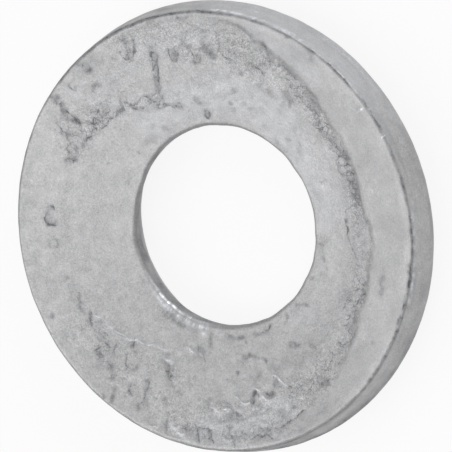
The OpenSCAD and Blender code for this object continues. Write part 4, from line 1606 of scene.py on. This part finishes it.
@dataclass
class Studio:
    """Pale floor, soft light and the camera.

    Attributes:
        tilt: Angle between the camera's line of sight and the washer's axis.
        roll: Turn of the picture round that line.
        distance: Distance of the camera, in millimetres.
        px_per_mm: How large the picture shows one millimetre at that distance.
        centre_px: Where in the picture the axis meets the height of the rim.
        floor_size: Edge of the floor, in metres.
        paper: Colour of the floor.
        paper_glow: Share of plain white in the floor, as the camera sees it.
        glossy_glow: How much of that share a reflection sees.
        air: Strength of the even light from all sides.
        lamps: The soft boxes.
        sensor_mm: Width of the camera's sensor.
        far_clip: How far the camera sees, in metres.
    """

    tilt: float = math.radians(29.8)
    roll: float = math.radians(-19.4)
    distance: float = 1200.0
    px_per_mm: float = 11.83
    centre_px: tuple[float, float] = (213.1, 231.7)
    floor_size: float = 3.0
    paper: str = "F4F4F4"
    paper_glow: float = 0.88
    glossy_glow: float = 0.6
    air: float = 0.4
    lamps: tuple[Lamp, ...] = (
        Lamp("overhead", (-0.36, 0.0, 1.35), 0.9, 4.4),
        Lamp("far_side", (0.0, 0.9, 1.07), 0.9, 4.6),
        Lamp("upper_right", (0.9, -0.9, 0.6), 0.9, 6.5),
    )
    sensor_mm: float = 36.0
    far_clip: float = 10.0

    def build(self, height: float) -> None:
        """Sets up the floor, the light and the camera, for a washer of the given height."""
        self._floor()
        self._world()
        for lamp in self.lamps:
            self._light(lamp)
        self._camera(height)
        bpy.context.scene.view_settings.view_transform = "Standard"

    def _floor(self) -> None:
        """Makes the floor: white to the camera and to the metal, with the washer's shadow kept on it."""
        shape = bmesh.new()
        bmesh.ops.create_grid(shape, x_segments=1, y_segments=1, size=self.floor_size / 2)
        mesh = bpy.data.meshes.new("floor")
        shape.to_mesh(mesh)
        shape.free()
        floor = bpy.data.objects.new("floor", mesh)
        bpy.context.scene.collection.objects.link(floor)
        mat, tree = empty_material("white_paper")
        paper = add_node(tree, "ShaderNodeBsdfDiffuse", {"Color": linear_colour(self.paper)})
        white = add_node(tree, "ShaderNodeEmission", {"Color": WHITE, "Strength": 1.0})
        rays = add_node(tree, "ShaderNodeLightPath").outputs
        glossy = Wire(tree, rays["Is Glossy Ray"]) * self.glossy_glow
        share = Wire(tree, rays["Is Camera Ray"]).at_least(glossy) * self.paper_glow
        mix = add_node(tree, "ShaderNodeMixShader", {
            0: share, 1: Wire(tree, paper.outputs[0]), 2: Wire(tree, white.outputs[0])})
        add_node(tree, "ShaderNodeOutputMaterial", {"Surface": Wire(tree, mix.outputs[0])})
        mesh.materials.append(mat)

    def _world(self) -> None:
        """Lights the scene evenly, and looks white to the camera."""
        world = bpy.data.worlds.new("studio")
        world.use_nodes = True
        tree = world.node_tree
        tree.nodes.clear()
        air = add_node(tree, "ShaderNodeBackground", {"Color": WHITE, "Strength": self.air})
        add_node(tree, "ShaderNodeOutputWorld", {"Surface": Wire(tree, air.outputs[0])})
        bpy.context.scene.world = world

    @staticmethod
    def _light(lamp: Lamp) -> None:
        """Makes one square soft box that faces the washer."""
        data = bpy.data.lights.new(lamp.name, "AREA")
        data.size = lamp.size
        data.energy = lamp.power
        light = bpy.data.objects.new(lamp.name, data)
        place = Vector(lamp.place)
        light.matrix_world = Matrix.Translation(place) @ place.to_track_quat("Z", "Y").to_matrix().to_4x4()
        bpy.context.scene.collection.objects.link(light)

    def _camera(self, height: float) -> None:
        """Places the camera where the photo was taken from, with the photo's roll."""
        ahead = Vector((0, math.sin(self.tilt), -math.cos(self.tilt)))
        towards_near_side = Vector((0, -math.cos(self.tilt), -math.sin(self.tilt)))
        across = Vector((-1, 0, 0))
        cos_a, sin_a = math.cos(self.roll), math.sin(self.roll)
        right = cos_a * towards_near_side - sin_a * across
        down = sin_a * towards_near_side + cos_a * across
        offset = [(c - IMAGE_PX / 2) / self.px_per_mm for c in self.centre_px]
        place = Vector((0, 0, height)) - ahead * self.distance - right * offset[0] - down * offset[1]
        data = bpy.data.cameras.new("camera")
        data.sensor_width = self.sensor_mm
        data.lens = self.sensor_mm * self.px_per_mm * self.distance / IMAGE_PX
        data.clip_end = self.far_clip
        camera = bpy.data.objects.new("camera", data)
        turn = Matrix((right, -down, -ahead)).transposed().to_4x4()
        camera.matrix_world = Matrix.Translation(place * MM) @ turn
        bpy.context.scene.collection.objects.link(camera)
        bpy.context.scene.camera = camera


def main() -> None:
    _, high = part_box("washer")
    bore = next(m for m in frame["record"]["mounts"] if m["name"] == "bore")
    section = Section(outside_r=high.x / MM, bore_r=bore["dims"]["r_mm"])
    washer = Washer(section, ZincCoat(section, top=high.z / MM))
    piece = washer.build()
    piece.data.materials.append(GalvanisedSteel().material())
    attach(piece, "root")
    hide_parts("washer")
    LOG.info("%s: %d faces", piece.name, len(piece.data.polygons))
    Studio().build(high.z / MM)


if __name__ == "__main__":
    logging.basicConfig(level=logging.INFO)
    main()
